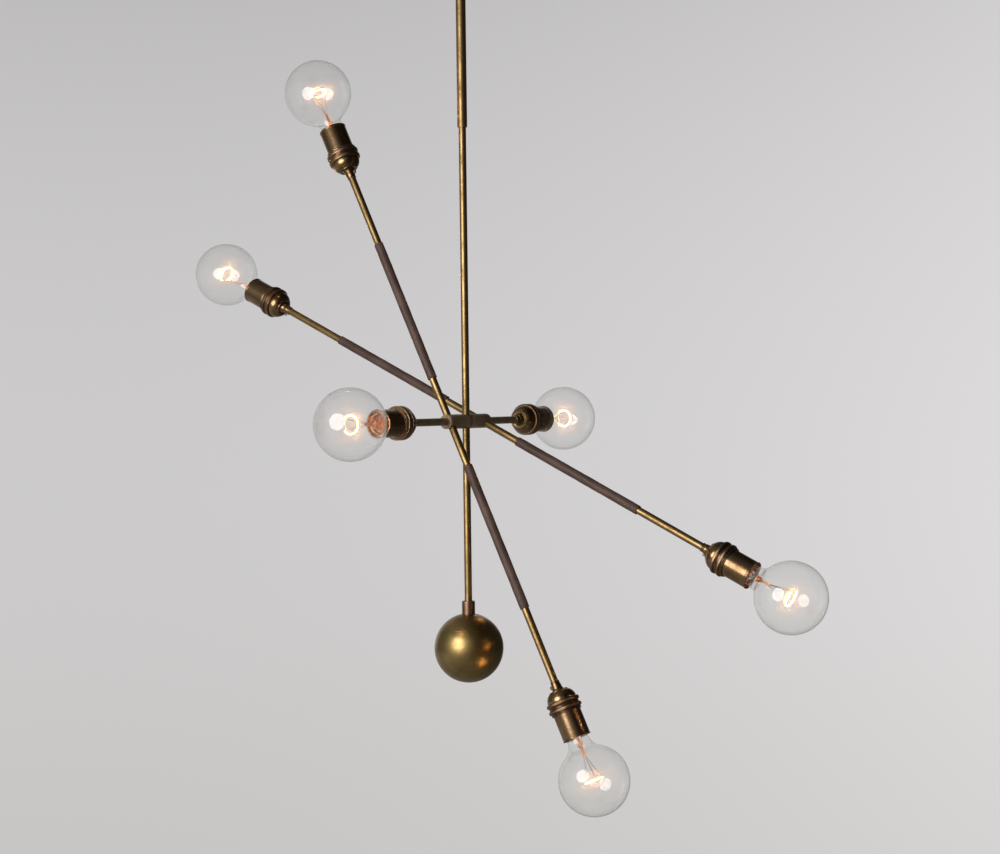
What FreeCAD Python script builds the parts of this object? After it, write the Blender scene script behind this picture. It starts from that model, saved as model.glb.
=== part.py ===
"""A six-lamp ceiling light: a stem, a hub with two turning barrels, two long arms across the
barrels, two short arms out of their ends, and a hollow ball at the foot.

Millimetres. +Z is up and the origin is the centre of the ceiling bracket's top face, in the ceiling
plane. The hub's axis lies along X. The front barrel is on the -X side and the rear barrel on the +X
side. Each long arm turns in a plane square to X, and its tilt is measured from the vertical.
"""

import FreeCAD, Part
import os
import re
import Sketcher

SHEET_NAME = "sizes"

# ---------------------------------------------------------------- driving dimensions
SIZES = [
    # layout
    ("hub_drop", 690.0, "ceiling to the hub's axis"),
    ("front_tilt", 25.2, "degrees from the vertical, front long arm"),
    ("rear_tilt", 64.1, "degrees from the vertical, rear long arm"),
    ("arm_offset", 39.5, "hub centre to each long arm's plane"),
    ("long_reach", 520.0, "hub axis to a globe's centre, long arm"),
    ("short_reach", 263.0, "hub centre to a globe's centre, short arm"),
    # fits
    ("fit_gap", 0.05, "radial clearance of parts that are fixed to each other"),
    ("turning_gap", 0.2, "radial clearance of parts that turn on each other"),
    ("end_gap", 0.3, "clearance between end faces of parts that turn"),
    # lamp pipe
    ("pipe_radius", 5.15, "outside of the thin pipe"),
    ("pipe_bore", 3.5, "radius of the thin pipe's bore"),
    ("wire_radius", 1.1, "insulated wire"),
    ("wire_gap", 0.2, "wire to the wall of the bore"),
    # ceiling fixing
    ("bracket_length", 108.0, "end to end"),
    ("bracket_width", 25.0, ""),
    ("bracket_thickness", 2.0, ""),
    ("slot_spacing", 88.9, "centre to centre of the two slots"),
    ("slot_length", 20.0, "end to end"),
    ("slot_radius", 2.5, "half the slot's width"),
    ("nut_flats", 16.0, "across the flats of the bracket nut"),
    ("nut_height", 4.0, "bracket nut"),
    ("nipple_top", 0.5, "depth of the nipple's upper end"),
    ("nipple_bite", 5.5, "nipple thread inside the swivel housing"),
    ("canopy_radius", 62.5, "outside of the rim"),
    ("canopy_depth", 28.0, "ceiling to the canopy's lower face"),
    ("canopy_wall", 1.2, ""),
    ("canopy_shoulder", 12.0, "radius of the rounded shoulder"),
    # swivel
    ("seat_gap", 0.1, "between seated faces"),
    ("housing_flange_radius", 15.0, ""),
    ("housing_flange_height", 3.0, ""),
    ("housing_radius", 9.5, ""),
    ("housing_length", 19.0, "canopy face to the housing's lower end"),
    ("housing_web", 6.5, "threaded upper wall of the housing"),
    ("swivel_bore", 7.5, "radius of the housing's cavity"),
    ("stud_head_radius", 7.0, ""),
    ("stud_head_height", 4.7, ""),
    ("retainer_spigot", 4.7, "length inside the housing"),
    ("retainer_height", 2.5, "visible lower flange"),
    ("stud_collar_radius", 8.0, ""),
    ("stud_collar_length", 15.0, ""),
    ("stud_socket", 10.0, "depth of the stem's socket"),
    ("stud_neck", 3.0, "retainer to the stud's collar"),
    # stem
    ("stem_sleeve_radius", 6.85, "outside of the thick upper tube"),
    ("stem_sleeve_length", 215.0, ""),
    # hub
    ("hub_radius", 10.0, "outside of the core and the barrels"),
    ("core_half", 7.0, "half the core's length"),
    ("hub_chamfer", 0.6, ""),
    ("pivot_half", 16.0, "half the pivot tube's length"),
    ("pivot_window", 3.4, "radius of the wire hole across the pivot tube"),
    ("barrel_bore", 7.7, "radius inside a barrel"),
    ("barrel_web", 3.0, "wall that the pivot passes through"),
    ("barrel_end", 47.5, "hub centre to a barrel's outer end"),
    ("pivot_nut_flats", 12.7, "across the flats"),
    ("pivot_nut_height", 4.0, ""),
    ("plug_flange", 2.5, "thickness of the end plug's flange"),
    ("plug_spigot", 2.6, "length of the end plug inside the barrel"),
    # leather sleeves
    ("leather_start", 65.9, "hub axis to the sleeve"),
    ("leather_length", 210.4, ""),
    ("leather_wall", 1.4, ""),
    # ball and collar
    ("collar_rise", 65.4, "ball centre to the collar's top"),
    ("collar_radius", 9.0, ""),
    ("collar_chamfer", 0.8, ""),
    ("ball_drop", 315.1, "hub axis to the ball's centre"),
    ("ball_radius", 48.1, ""),
    ("ball_wall", 1.5, ""),
    ("seam_rise", 27.0, "ball centre to the seam"),
    ("seam_gap", 0.15, "between the cap and the bowl"),
    ("lip_wall", 1.3, "the bowl's lip inside the cap"),
    ("lip_rise", 4.0, "lip above the seam"),
    ("lip_root", 5.0, "lip below the seam"),
    ("lip_blend", 4.0, "slope from the lip to the bowl's wall"),
    ("ball_nut_flats", 14.0, "across the flats"),
    ("ball_nut_height", 5.0, ""),
    ("pipe_below_nut", 3.0, ""),
    # lampholder, measured along the arm from the start of its neck
    ("holder_length", 80.0, "neck to mouth"),
    ("neck_rim_radius", 5.9, ""),
    ("neck_top_radius", 6.8, ""),
    ("neck_length", 7.0, ""),
    ("dome_root_radius", 9.6, ""),
    ("dome_start", 12.5, ""),
    ("dome_root_curve", 9.0, "radius of the hollow curve below the dome"),
    ("dome_curve", 15.0, "radius of the dome's outline"),
    ("dome_radius", 19.8, ""),
    ("dome_end", 24.5, ""),
    ("cap_skirt", 2.5, "straight rim after the dome"),
    ("cap_wall", 1.0, ""),
    ("pipe_seat", 11.0, "pipe inside the neck"),
    ("shell_radius", 18.7, ""),
    ("shell_wall", 1.2, ""),
    ("shell_in_cap", 3.4, "shell inside the cap's skirt"),
    ("lip_radius", 19.3, "bead at the mouth"),
    ("lip_height", 1.6, ""),
    ("ring_radius", 22.75, "outside of a ring's ridge"),
    ("ring_hub_radius", 20.7, ""),
    ("ring_ridge", 4.9, "width of the ridge"),
    ("ring_length", 8.6, ""),
    ("ring_round", 0.6, "rounding of the ridge"),
    ("neck_screw_height", 7.0, ""),
    ("neck_screw_shank", 1.5, "radius"),
    ("neck_screw_head", 2.4, "radius"),
    ("neck_screw_head_height", 1.9, ""),
    ("neck_screw_stand_off", 0.75, "screw head clear of the neck, which widens below it"),
    # inside the lampholder
    ("core_gap", 0.2, "insulator to shell"),
    ("core_recess", 6.0, "insulator's rim below the mouth"),
    ("core_floor", 8.0, ""),
    ("core_length", 32.0, ""),
    ("core_cavity", 13.9, "radius"),
    ("screw_shell_radius", 13.75, "outside"),
    ("screw_shell_wall", 0.4, ""),
    ("screw_shell_length", 22.5, ""),
    ("contact_radius", 3.0, "rivet"),
    ("contact_head", 4.0, "radius"),
    ("contact_head_height", 1.1, ""),
    # bulb
    ("globe_radius", 47.5, ""),
    ("globe_stand_off", 59.0, "mouth to the globe's centre"),
    ("glass_wall", 0.7, ""),
    ("glass_neck_radius", 14.5, ""),
    ("glass_neck_curve", 20.0, "radius between the neck and the globe"),
    ("glass_foot_radius", 12.3, "neck inside the base"),
    ("glass_foot_depth", 10.0, "neck below the mouth"),
    ("glass_rim_rise", 1.4, "slope from the foot to the neck"),
    ("base_radius", 13.0, ""),
    ("base_wall", 0.5, ""),
    ("base_sink", 0.9, "base's rim below the mouth"),
    ("base_length", 27.6, "tip to rim"),
    ("base_tip_radius", 4.4, ""),
    ("base_tip_height", 1.0, ""),
    ("base_cone_height", 5.0, ""),
    ("base_floor", 2.5, ""),
    ("flare_radius", 11.4, "foot of the glass mount"),
    ("flare_height", 18.5, ""),
    ("flare_wall", 1.0, ""),
    ("press_radius", 2.8, ""),
    ("press_top", 37.0, "foot of the mount to its upper end"),
    ("lead_radius", 0.5, ""),
    ("lead_foot", 1.5, "lead to the axis at the press"),
    ("lead_bite", 2.5, "lead inside the press"),
    ("filament_radius", 12.0, "of the loop"),
    ("filament_wire", 0.9, "radius of the coiled wire"),
    ("filament_gap", 60.0, "degrees left open in the loop"),
    ("support_radius", 0.35, "wires that hold the loop up"),
]

VECTOR = FreeCAD.Vector
ALONG_X = VECTOR(1, 0, 0)
ALONG_Y = VECTOR(0, 1, 0)
ALONG_Z = VECTOR(0, 0, 1)
FLIP = 180.0
QUARTER = 90.0
ORIGIN_POINT = (-1, 1)
ROOT_AXIS, BASE_AXIS = (-2, -1)

doc = FreeCAD.newDocument("ceiling_light")
sheet = doc.addObject("Spreadsheet::Sheet", SHEET_NAME)
for row, (alias, number, note) in enumerate(SIZES, start=1):
    sheet.set(f"A{row}", str(number))
    sheet.setAlias(f"A{row}", alias)
    sheet.set(f"B{row}", note)
doc.recompute()

ALIASES = {alias for alias, number, note in SIZES}
parts = {}


def cell(text):
    """An expression in which every size's name points at its cell."""
    return re.sub(r"[a-z][a-z_]*", lambda m: f"{SHEET_NAME}.{m[0]}" if m[0] in ALIASES else m[0], text)


def amount(text):
    """What an expression comes to now, as a first guess for the sketch solver."""
    found = sheet.evalExpression(cell(text))
    return float(getattr(found, "Value", found))


# ---------------------------------------------------------------- outlines
def at(radius, height):
    """A corner of a turned outline, joined to the next one by a straight line."""
    return {"radius": radius, "height": height, "bend": None, "turn": 0}


def bend(radius, height, curve, turn):
    """A corner joined to the next by an arc: turn 1 curves to the left on the way, -1 to the right."""
    return {"radius": radius, "height": height, "bend": curve, "turn": turn}


def arc_between(start, end, radius, turn):
    """The arc of that radius from start to end, on the side that turn gives."""
    chord = end - start
    half = chord.Length / 2
    rise = max(radius * radius - half * half, 0.0) ** 0.5
    left = VECTOR(-chord.y, chord.x, 0).normalize()
    centre = (start + end) * 0.5 + left * (rise * turn)
    circle = Part.Circle(centre, ALONG_Z, radius)
    first, last = (start, end) if turn > 0 else (end, start)
    return Part.ArcOfCircle(circle, circle.parameter(first), circle.parameter(last))


def hold(sketch, kind, geometry, point, text, axis):
    """Ties one coordinate of a point to the sheet, or lays the point on an axis where it is 0."""
    if text == "0":
        sketch.addConstraint(Sketcher.Constraint("PointOnObject", geometry, point, axis))
        return
    index = sketch.addConstraint(Sketcher.Constraint(kind, *ORIGIN_POINT, geometry, point, amount(text)))
    sketch.setExpression(f"Constraints[{index}]", cell(text))


def turned(name, outline):
    """A body turned about its own Z from a closed outline of corners (radius, height)."""
    body = doc.addObject("PartDesign::Body", name)
    sketch = body.newObject("Sketcher::SketchObject", name + "_outline")
    plane = next(f for f in body.Origin.OriginFeatures if f.Role == "XZ_Plane")
    sketch.AttachmentSupport = (plane, [""])
    sketch.MapMode = "FlatFace"
    corners = [VECTOR(amount(c["radius"]), amount(c["height"]), 0) for c in outline]
    count = len(outline)
    starts, ends = [], []
    for i, corner in enumerate(outline):
        here, there = corners[i], corners[(i + 1) % count]
        if corner["bend"]:
            arc = arc_between(here, there, amount(corner["bend"]), corner["turn"])
            sketch.addGeometry(arc, False)
        else:
            sketch.addGeometry(Part.LineSegment(here, there), False)
        backwards = corner["turn"] < 0
        starts.append(2 if backwards else 1)
        ends.append(1 if backwards else 2)
    for i, corner in enumerate(outline):
        after = (i + 1) % count
        sketch.addConstraint(Sketcher.Constraint("Coincident", i, ends[i], after, starts[after]))
        hold(sketch, "DistanceX", i, starts[i], corner["radius"], ROOT_AXIS)
        hold(sketch, "DistanceY", i, starts[i], corner["height"], BASE_AXIS)
        if corner["bend"]:
            index = sketch.addConstraint(Sketcher.Constraint("Radius", i, amount(corner["bend"])))
            sketch.setExpression(f"Constraints[{index}]", cell(corner["bend"]))
    revolution = body.newObject("PartDesign::Revolution", name + "_turned")
    revolution.Profile = sketch
    revolution.ReferenceAxis = (sketch, ["V_Axis"])
    revolution.Angle = 360
    return body


def tube(name, inner, outer, start, end):
    """A plain tube about its own Z."""
    return turned(name, [at(inner, start), at(outer, start), at(outer, end), at(inner, end)])


def rod(name, radius, height):
    """A solid cylinder that stands on its own XY plane."""
    cylinder = doc.addObject("Part::Cylinder", name)
    cylinder.setExpression("Radius", cell(radius))
    cylinder.setExpression("Height", cell(height))
    return cylinder


def cut(name, base, tool):
    """base with tool taken away."""
    result = doc.addObject("Part::Cut", name)
    result.Base = base
    result.Tool = tool
    return result


def fuse(name, shapes):
    """All the shapes as one solid."""
    result = doc.addObject("Part::MultiFuse", name)
    result.Shapes = shapes
    return result


def copy_of(name, master):
    """Another instance of a piece, with a place of its own."""
    link = doc.addObject("App::Link", name)
    link.LinkedObject = master
    return link


def group(name, members):
    """Identical pieces that share one file as separate solids."""
    result = doc.addObject("Part::Compound", name)
    result.Links = members
    return result


def keep(name, thing):
    """Names the sub-part and puts it on the list of files to write."""
    thing.Label = name
    parts[name] = thing
    return thing


def hexagon_nut(name, flats, height, hole):
    """A hexagon nut that stands on its own XY plane. A prism has six sides unless told otherwise."""
    prism = doc.addObject("Part::Prism", name + "_hexagon")
    prism.setExpression("Circumradius", cell(f"{flats} / sqrt(3)"))
    prism.setExpression("Height", cell(height))
    return cut(name, prism, rod(name + "_hole", hole, height))


# ---------------------------------------------------------------- places
def move(thing, across, away, up):
    """Ties a sub-part's place to the sheet."""
    for axis, text in zip("xyz", (across, away, up)):
        thing.setExpression(f"Placement.Base.{axis}", cell(text))


def hang(thing, depth="0"):
    """Turns a piece over, so that its own Z is the depth below the ceiling."""
    thing.Placement = FreeCAD.Placement(VECTOR(), FreeCAD.Rotation(ALONG_X, FLIP))
    thing.setExpression("Placement.Base.z", cell(f"-({depth})"))
    return thing


SIDES = {"front": -1, "rear": 1}
PORTS = ("top", "bottom", "end")


def aim(thing, side, port, along="0"):
    """Lays a piece's own Z along an arm, with its origin that far from the hub's axis."""
    sign = SIDES[side]
    if port == "end":
        thing.Placement = FreeCAD.Placement(VECTOR(), FreeCAD.Rotation(ALONG_Y, sign * QUARTER))
        move(thing, f"{sign} * ({along})", "0", "-hub_drop")
        return thing
    way = 1 if port == "top" else -1
    tilt = f"{side}_tilt"
    thing.Placement = FreeCAD.Placement(VECTOR(), FreeCAD.Rotation(ALONG_X, QUARTER))
    turn = f"-{tilt}" if port == "top" else f"{FLIP} - {tilt}"
    thing.setExpression("Placement.Rotation.Angle", cell(turn))
    move(
        thing,
        f"{sign} * arm_offset",
        f"{way} * ({along}) * sin({tilt} * 1 deg)",
        f"-hub_drop + {way} * ({along}) * cos({tilt} * 1 deg)",
    )
    return thing


HEAD_START = {
    "top": "long_reach - globe_stand_off - holder_length",
    "bottom": "long_reach - globe_stand_off - holder_length",
    "end": "short_reach - globe_stand_off - holder_length",
}
CORE_END = "(holder_length - core_recess)"
CORE_START = f"({CORE_END} - core_length)"


# ---------------------------------------------------------------- ceiling fixing
def ceiling_bracket():
    """A flat steel bar with round ends, a slot near each end and a threaded hole in the middle."""
    half_straight = "(bracket_length - bracket_width) / 2"
    bar = doc.addObject("Part::Box", "bracket_bar")
    bar.setExpression("Length", cell("bracket_length - bracket_width"))
    bar.setExpression("Width", cell("bracket_width"))
    bar.setExpression("Height", cell("bracket_thickness"))
    move(bar, f"-{half_straight}", "-bracket_width / 2", "-bracket_thickness")
    pieces = [bar]
    holes = [rod("bracket_thread", "pipe_radius + fit_gap", "bracket_thickness")]
    move(holes[0], "0", "0", "-bracket_thickness")
    for side, sign in SIDES.items():
        end = rod(f"bracket_end_{side}", "bracket_width / 2", "bracket_thickness")
        move(end, f"{sign} * {half_straight}", "0", "-bracket_thickness")
        pieces.append(end)
        slot = doc.addObject("Part::Box", f"slot_{side}")
        slot.setExpression("Length", cell("slot_length - 2 * slot_radius"))
        slot.setExpression("Width", cell("2 * slot_radius"))
        slot.setExpression("Height", cell("bracket_thickness"))
        middle = f"{sign} * slot_spacing / 2"
        run = "(slot_length / 2 - slot_radius)"
        move(slot, f"{middle} - {run}", "-slot_radius", "-bracket_thickness")
        holes.append(slot)
        for end_name, way in (("inner", -1), ("outer", 1)):
            round_end = rod(f"slot_{side}_{end_name}", "slot_radius", "bracket_thickness")
            move(round_end, f"{middle} + {way} * {run}", "0", "-bracket_thickness")
            holes.append(round_end)
    blank = fuse("bracket_blank", pieces)
    return cut("ceiling_bracket_cut", blank, fuse("bracket_holes", holes))


keep("ceiling_bracket", ceiling_bracket())
keep(
    "bracket_nut",
    hang(
        hexagon_nut("bracket_nut_cut", "nut_flats", "nut_height", "pipe_radius + fit_gap"),
        "bracket_thickness",
    ),
)
keep(
    "canopy_nipple",
    hang(tube("nipple_tube", "pipe_bore", "pipe_radius", "nipple_top", "canopy_depth + nipple_bite")),
)


def canopy_cover():
    """A spun cup with a rounded shoulder. Its rim meets the ceiling and the nipple passes through it."""
    hole = "pipe_radius + end_gap"
    inside = "canopy_depth - canopy_wall"
    flat = "canopy_radius - canopy_shoulder"
    wall_end = "canopy_depth - canopy_shoulder"
    return turned(
        "canopy_spun",
        [
            at("canopy_radius - canopy_wall", "0"),
            at("canopy_radius", "0"),
            bend("canopy_radius", wall_end, "canopy_shoulder", 1),
            at(flat, "canopy_depth"),
            at(hole, "canopy_depth"),
            at(hole, inside),
            bend(flat, inside, "canopy_shoulder - canopy_wall", -1),
            at("canopy_radius - canopy_wall", wall_end),
        ],
    )


keep("canopy_cover", hang(canopy_cover()))


# ---------------------------------------------------------------- swivel
HOUSING_TOP = "(canopy_depth + seat_gap)"
HOUSING_END = "(canopy_depth + housing_length)"
RETAINER_SEAT = f"({HOUSING_END} + seat_gap)"
RETAINER_TOP = f"({RETAINER_SEAT} - retainer_spigot)"
RETAINER_END = f"({RETAINER_SEAT} + retainer_height)"
STUD_SHOULDER = f"({RETAINER_TOP} - end_gap)"
STUD_TOP = f"({STUD_SHOULDER} - stud_head_height)"
COLLAR_TOP = f"({RETAINER_END} + stud_neck)"
COLLAR_END = f"({COLLAR_TOP} + stud_collar_length)"
STEM_TOP = f"({COLLAR_END} - stud_socket)"

keep(
    "swivel_housing",
    hang(
        turned(
            "housing_turned",
            [
                at("pipe_radius + fit_gap", HOUSING_TOP),
                at("housing_flange_radius", HOUSING_TOP),
                at("housing_flange_radius", f"{HOUSING_TOP} + housing_flange_height / 2"),
                at("housing_radius", f"{HOUSING_TOP} + housing_flange_height"),
                at("housing_radius", HOUSING_END),
                at("swivel_bore", HOUSING_END),
                at("swivel_bore", f"{HOUSING_TOP} + housing_web"),
                at("pipe_radius + fit_gap", f"{HOUSING_TOP} + housing_web"),
            ],
        )
    ),
)
keep(
    "swivel_retainer",
    hang(
        turned(
            "retainer_turned",
            [
                at("pipe_radius + end_gap", RETAINER_TOP),
                at("swivel_bore - fit_gap", RETAINER_TOP),
                at("swivel_bore - fit_gap", RETAINER_SEAT),
                at("housing_radius", RETAINER_SEAT),
                at("housing_radius", f"{RETAINER_END} - hub_chamfer"),
                at("housing_radius - hub_chamfer", RETAINER_END),
                at("pipe_radius + end_gap", RETAINER_END),
            ],
        )
    ),
)
keep(
    "swivel_stud",
    hang(
        turned(
            "stud_turned",
            [
                at("pipe_bore", STUD_TOP),
                at("stud_head_radius", STUD_TOP),
                at("stud_head_radius", STUD_SHOULDER),
                at("pipe_radius", STUD_SHOULDER),
                at("pipe_radius", COLLAR_TOP),
                at("stud_collar_radius - hub_chamfer", COLLAR_TOP),
                at("stud_collar_radius", f"{COLLAR_TOP} + hub_chamfer"),
                at("stud_collar_radius", f"{COLLAR_END} - hub_chamfer"),
                at("stud_collar_radius - hub_chamfer", COLLAR_END),
                at("pipe_radius + fit_gap", COLLAR_END),
                at("pipe_radius + fit_gap", STEM_TOP),
                at("pipe_bore", STEM_TOP),
            ],
        )
    ),
)

# ---------------------------------------------------------------- stem
PIPE_STOP = "(pipe_radius + end_gap + seat_gap)"
keep(
    "stem_pipe",
    hang(tube("stem_pipe_tube", "pipe_bore", "pipe_radius", STEM_TOP, f"hub_drop - {PIPE_STOP}")),
)
keep(
    "stem_sleeve",
    hang(
        tube(
            "stem_sleeve_tube",
            "pipe_radius + fit_gap",
            "stem_sleeve_radius",
            f"{COLLAR_END} + seat_gap",
            f"{COLLAR_END} + seat_gap + stem_sleeve_length",
        )
    ),
)
WIRE_OFFSET = "(pipe_bore - wire_radius - wire_gap)"


def wire_pair(name, length):
    """Two wires side by side that stand on their own XY plane."""
    pair = []
    for way_name, way in (("a", -1), ("b", 1)):
        wire = rod(f"{name}_{way_name}", "wire_radius", length)
        wire.setExpression("Placement.Base.x", cell(f"{way} * {WIRE_OFFSET}"))
        pair.append(wire)
    return group(name, pair)


WIRE_TOP = "(nipple_top + nipple_bite)"
keep("stem_wires", hang(wire_pair("stem_wire_pair", f"hub_drop - {WIRE_TOP}"), WIRE_TOP))


# ---------------------------------------------------------------- hub
def hub_core():
    """A short round block along X, bored for the pivot tube and, upright, for the two pipes."""
    hole = "pipe_radius + fit_gap"
    block = turned(
        "core_block",
        [
            at(hole, "0"),
            at("hub_radius - hub_chamfer", "0"),
            at("hub_radius", "hub_chamfer"),
            at("hub_radius", "2 * core_half - hub_chamfer"),
            at("hub_radius - hub_chamfer", "2 * core_half"),
            at(hole, "2 * core_half"),
        ],
    )
    aim(block, "rear", "end", "-core_half")
    upright = rod("core_upright", hole, "4 * hub_radius")
    move(upright, "0", "0", "-hub_drop - 2 * hub_radius")
    return cut("hub_core_cut", block, upright)


def hub_pivot():
    """The tube that both barrels turn on, with a window across it for the wires."""
    blank = tube("pivot_tube", "pipe_bore", "pipe_radius", "0", "2 * pivot_half")
    aim(blank, "rear", "end", "-pivot_half")
    window = rod("pivot_window_tool", "pivot_window", "4 * pipe_radius")
    move(window, "0", "0", "-hub_drop - 2 * pipe_radius")
    return cut("hub_pivot_cut", blank, window)


BARREL_START = "(core_half + end_gap)"
WEB_END = f"({BARREL_START} + barrel_web)"
keep("hub_core", hub_core())
keep("hub_pivot", hub_pivot())
pivot_nuts = []
for side in SIDES:
    nut = hexagon_nut(f"pivot_nut_{side}", "pivot_nut_flats", "pivot_nut_height", "pipe_radius + fit_gap")
    pivot_nuts.append(aim(nut, side, "end", f"{WEB_END} + end_gap"))
keep("pivot_nuts", group("pivot_nut_pair", pivot_nuts))


def barrel(side):
    """A hollow barrel that turns on the pivot. The long arm crosses it near its outer end."""
    hole = "pipe_radius + turning_gap"
    blank = turned(
        f"{side}_barrel_blank",
        [
            at(hole, BARREL_START),
            at("hub_radius - hub_chamfer", BARREL_START),
            at("hub_radius", f"{BARREL_START} + hub_chamfer"),
            at("hub_radius", "barrel_end"),
            at("barrel_bore", "barrel_end"),
            at("barrel_bore", WEB_END),
            at(hole, WEB_END),
        ],
    )
    aim(blank, side, "end")
    cross = rod(f"{side}_cross_tool", "pipe_radius + fit_gap", "4 * hub_radius")
    aim(cross, side, "top", "-2 * hub_radius")
    return cut(f"{side}_barrel_cut", blank, cross)


def end_plug(side):
    """The plug in a barrel's outer end, with the short arm through it."""
    hole = "pipe_radius + fit_gap"
    face = "barrel_end + seat_gap"
    outer = f"{face} + plug_flange"
    plug = turned(
        f"{side}_plug_turned",
        [
            at(hole, "barrel_end - plug_spigot"),
            at("barrel_bore - fit_gap", "barrel_end - plug_spigot"),
            at("barrel_bore - fit_gap", face),
            at("hub_radius", face),
            at("hub_radius", f"{outer} - hub_chamfer"),
            at("hub_radius - hub_chamfer", outer),
            at(hole, outer),
        ],
    )
    return aim(plug, side, "end")


# ---------------------------------------------------------------- arms
def arm_tube(name, start, end):
    """One arm's pipe, from inside the barrel to its seat in the lampholder's neck."""
    return tube(name, "pipe_bore", "pipe_radius", start, end)


PLUG_INNER = "(barrel_end - plug_spigot)"
long_arm = arm_tube("long_arm_tube", "barrel_bore", f"{HEAD_START['top']} + pipe_seat")
short_arm = arm_tube("short_arm_tube", PLUG_INNER, f"{HEAD_START['end']} + pipe_seat")
leather = tube(
    "leather_tube",
    "pipe_radius + fit_gap",
    "pipe_radius + fit_gap + leather_wall",
    "leather_start",
    "leather_start + leather_length",
)
WIRE_REACH = {port: f"{HEAD_START[port]} + {CORE_START} - end_gap" for port in PORTS}
WIRE_ROOT = {"top": "pipe_bore", "bottom": "pipe_bore", "end": PLUG_INNER}
wire_pairs = {
    port: wire_pair(f"{port}_wire_pair", f"{WIRE_REACH[port]} - {WIRE_ROOT[port]}") for port in PORTS
}


# ---------------------------------------------------------------- lampholder
NECK_TURNS = {
    "across": (ALONG_Y, -QUARTER),
    "under": (ALONG_X, QUARTER),
    "over": (ALONG_X, -QUARTER),
}
NECK_WAYS = {
    ("front", "top"): "under",
    ("front", "bottom"): "under",
    ("front", "end"): "across",
    ("rear", "top"): "over",
    ("rear", "bottom"): "under",
    ("rear", "end"): "across",
}


def sideways(thing, way):
    """Lays a turned piece across the neck at the height of the neck screw."""
    thing.Placement = FreeCAD.Placement(VECTOR(), FreeCAD.Rotation(*NECK_TURNS[way]))
    thing.setExpression("Placement.Base.z", cell("neck_screw_height"))
    return thing


def holder_cap(way):
    """A neck over the pipe's end that opens into a dome, with a side hole for the neck screw."""
    hole = "pipe_radius + fit_gap"
    skirt_end = "dome_end + cap_skirt"
    skirt_inside = "shell_radius + fit_gap"
    blank = turned(
        f"{way}_cap_blank",
        [
            at(hole, "0"),
            at("neck_rim_radius", "0"),
            bend("neck_top_radius", "neck_length", "dome_root_curve", -1),
            bend("dome_root_radius", "dome_start", "dome_curve", 1),
            at("dome_radius", "dome_end"),
            at("dome_radius", skirt_end),
            at(skirt_inside, skirt_end),
            bend(skirt_inside, "dome_end - cap_wall", "dome_curve - cap_wall", -1),
            at("dome_root_radius - cap_wall", "dome_start + cap_wall"),
            at("pipe_bore", "dome_start + cap_wall"),
            at("pipe_bore", "pipe_seat"),
            at(hole, "pipe_seat"),
        ],
    )
    drill = rod(f"{way}_cap_drill", "neck_screw_shank + fit_gap", "2 * dome_radius")
    return cut(f"{way}_cap_drilled", blank, sideways(drill, way))


def neck_screw(way):
    """The small screw that clamps the neck to the pipe, standing out to the side."""
    head_seat = "neck_top_radius + neck_screw_stand_off"
    screw = turned(
        f"{way}_screw_turned",
        [
            at("0", "pipe_radius + fit_gap"),
            at("neck_screw_shank", "pipe_radius + fit_gap"),
            at("neck_screw_shank", head_seat),
            at("neck_screw_head", head_seat),
            at("neck_screw_head", f"{head_seat} + neck_screw_head_height"),
            at("0", f"{head_seat} + neck_screw_head_height"),
        ],
    )
    return group(f"{way}_screw_placed", [sideways(screw, way)])


def shade_ring(name, start):
    """A ring on the shell: a rounded ridge, then a lower hub."""
    inside = "shell_radius + fit_gap"
    ridge_end = f"{start} + ring_ridge"
    return turned(
        name,
        [
            at(inside, start),
            bend("ring_radius - ring_round", start, "ring_round", 1),
            at("ring_radius", f"{start} + ring_round"),
            bend("ring_radius", f"{ridge_end} - ring_round", "ring_round", 1),
            at("ring_radius - ring_round", ridge_end),
            at("ring_hub_radius", ridge_end),
            at("ring_hub_radius", f"{start} + ring_length"),
            at(inside, f"{start} + ring_length"),
        ],
    )


def holder_shell():
    """The long straight shell, from inside the cap's skirt to a beaded mouth."""
    start = "dome_end + cap_skirt - shell_in_cap"
    inside = "shell_radius - shell_wall"
    bead = "holder_length - lip_height"
    return turned(
        "shell_turned",
        [
            at(inside, start),
            at("shell_radius", start),
            at("shell_radius", bead),
            at("lip_radius", f"{bead} + lip_height / 4"),
            at("lip_radius", "holder_length - lip_height / 4"),
            at("shell_radius", "holder_length"),
            at(inside, "holder_length"),
        ],
    )


CAVITY_FLOOR = f"({CORE_START} + core_floor)"


def socket_core():
    """The insulator: a cup with a floor that the centre contact passes through."""
    outside = "shell_radius - shell_wall - core_gap"
    return turned(
        "core_moulded",
        [
            at("contact_radius + fit_gap", CORE_START),
            at(outside, CORE_START),
            at(outside, CORE_END),
            at("core_cavity", CORE_END),
            at("core_cavity", CAVITY_FLOOR),
            at("contact_radius + fit_gap", CAVITY_FLOOR),
        ],
    )


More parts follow.
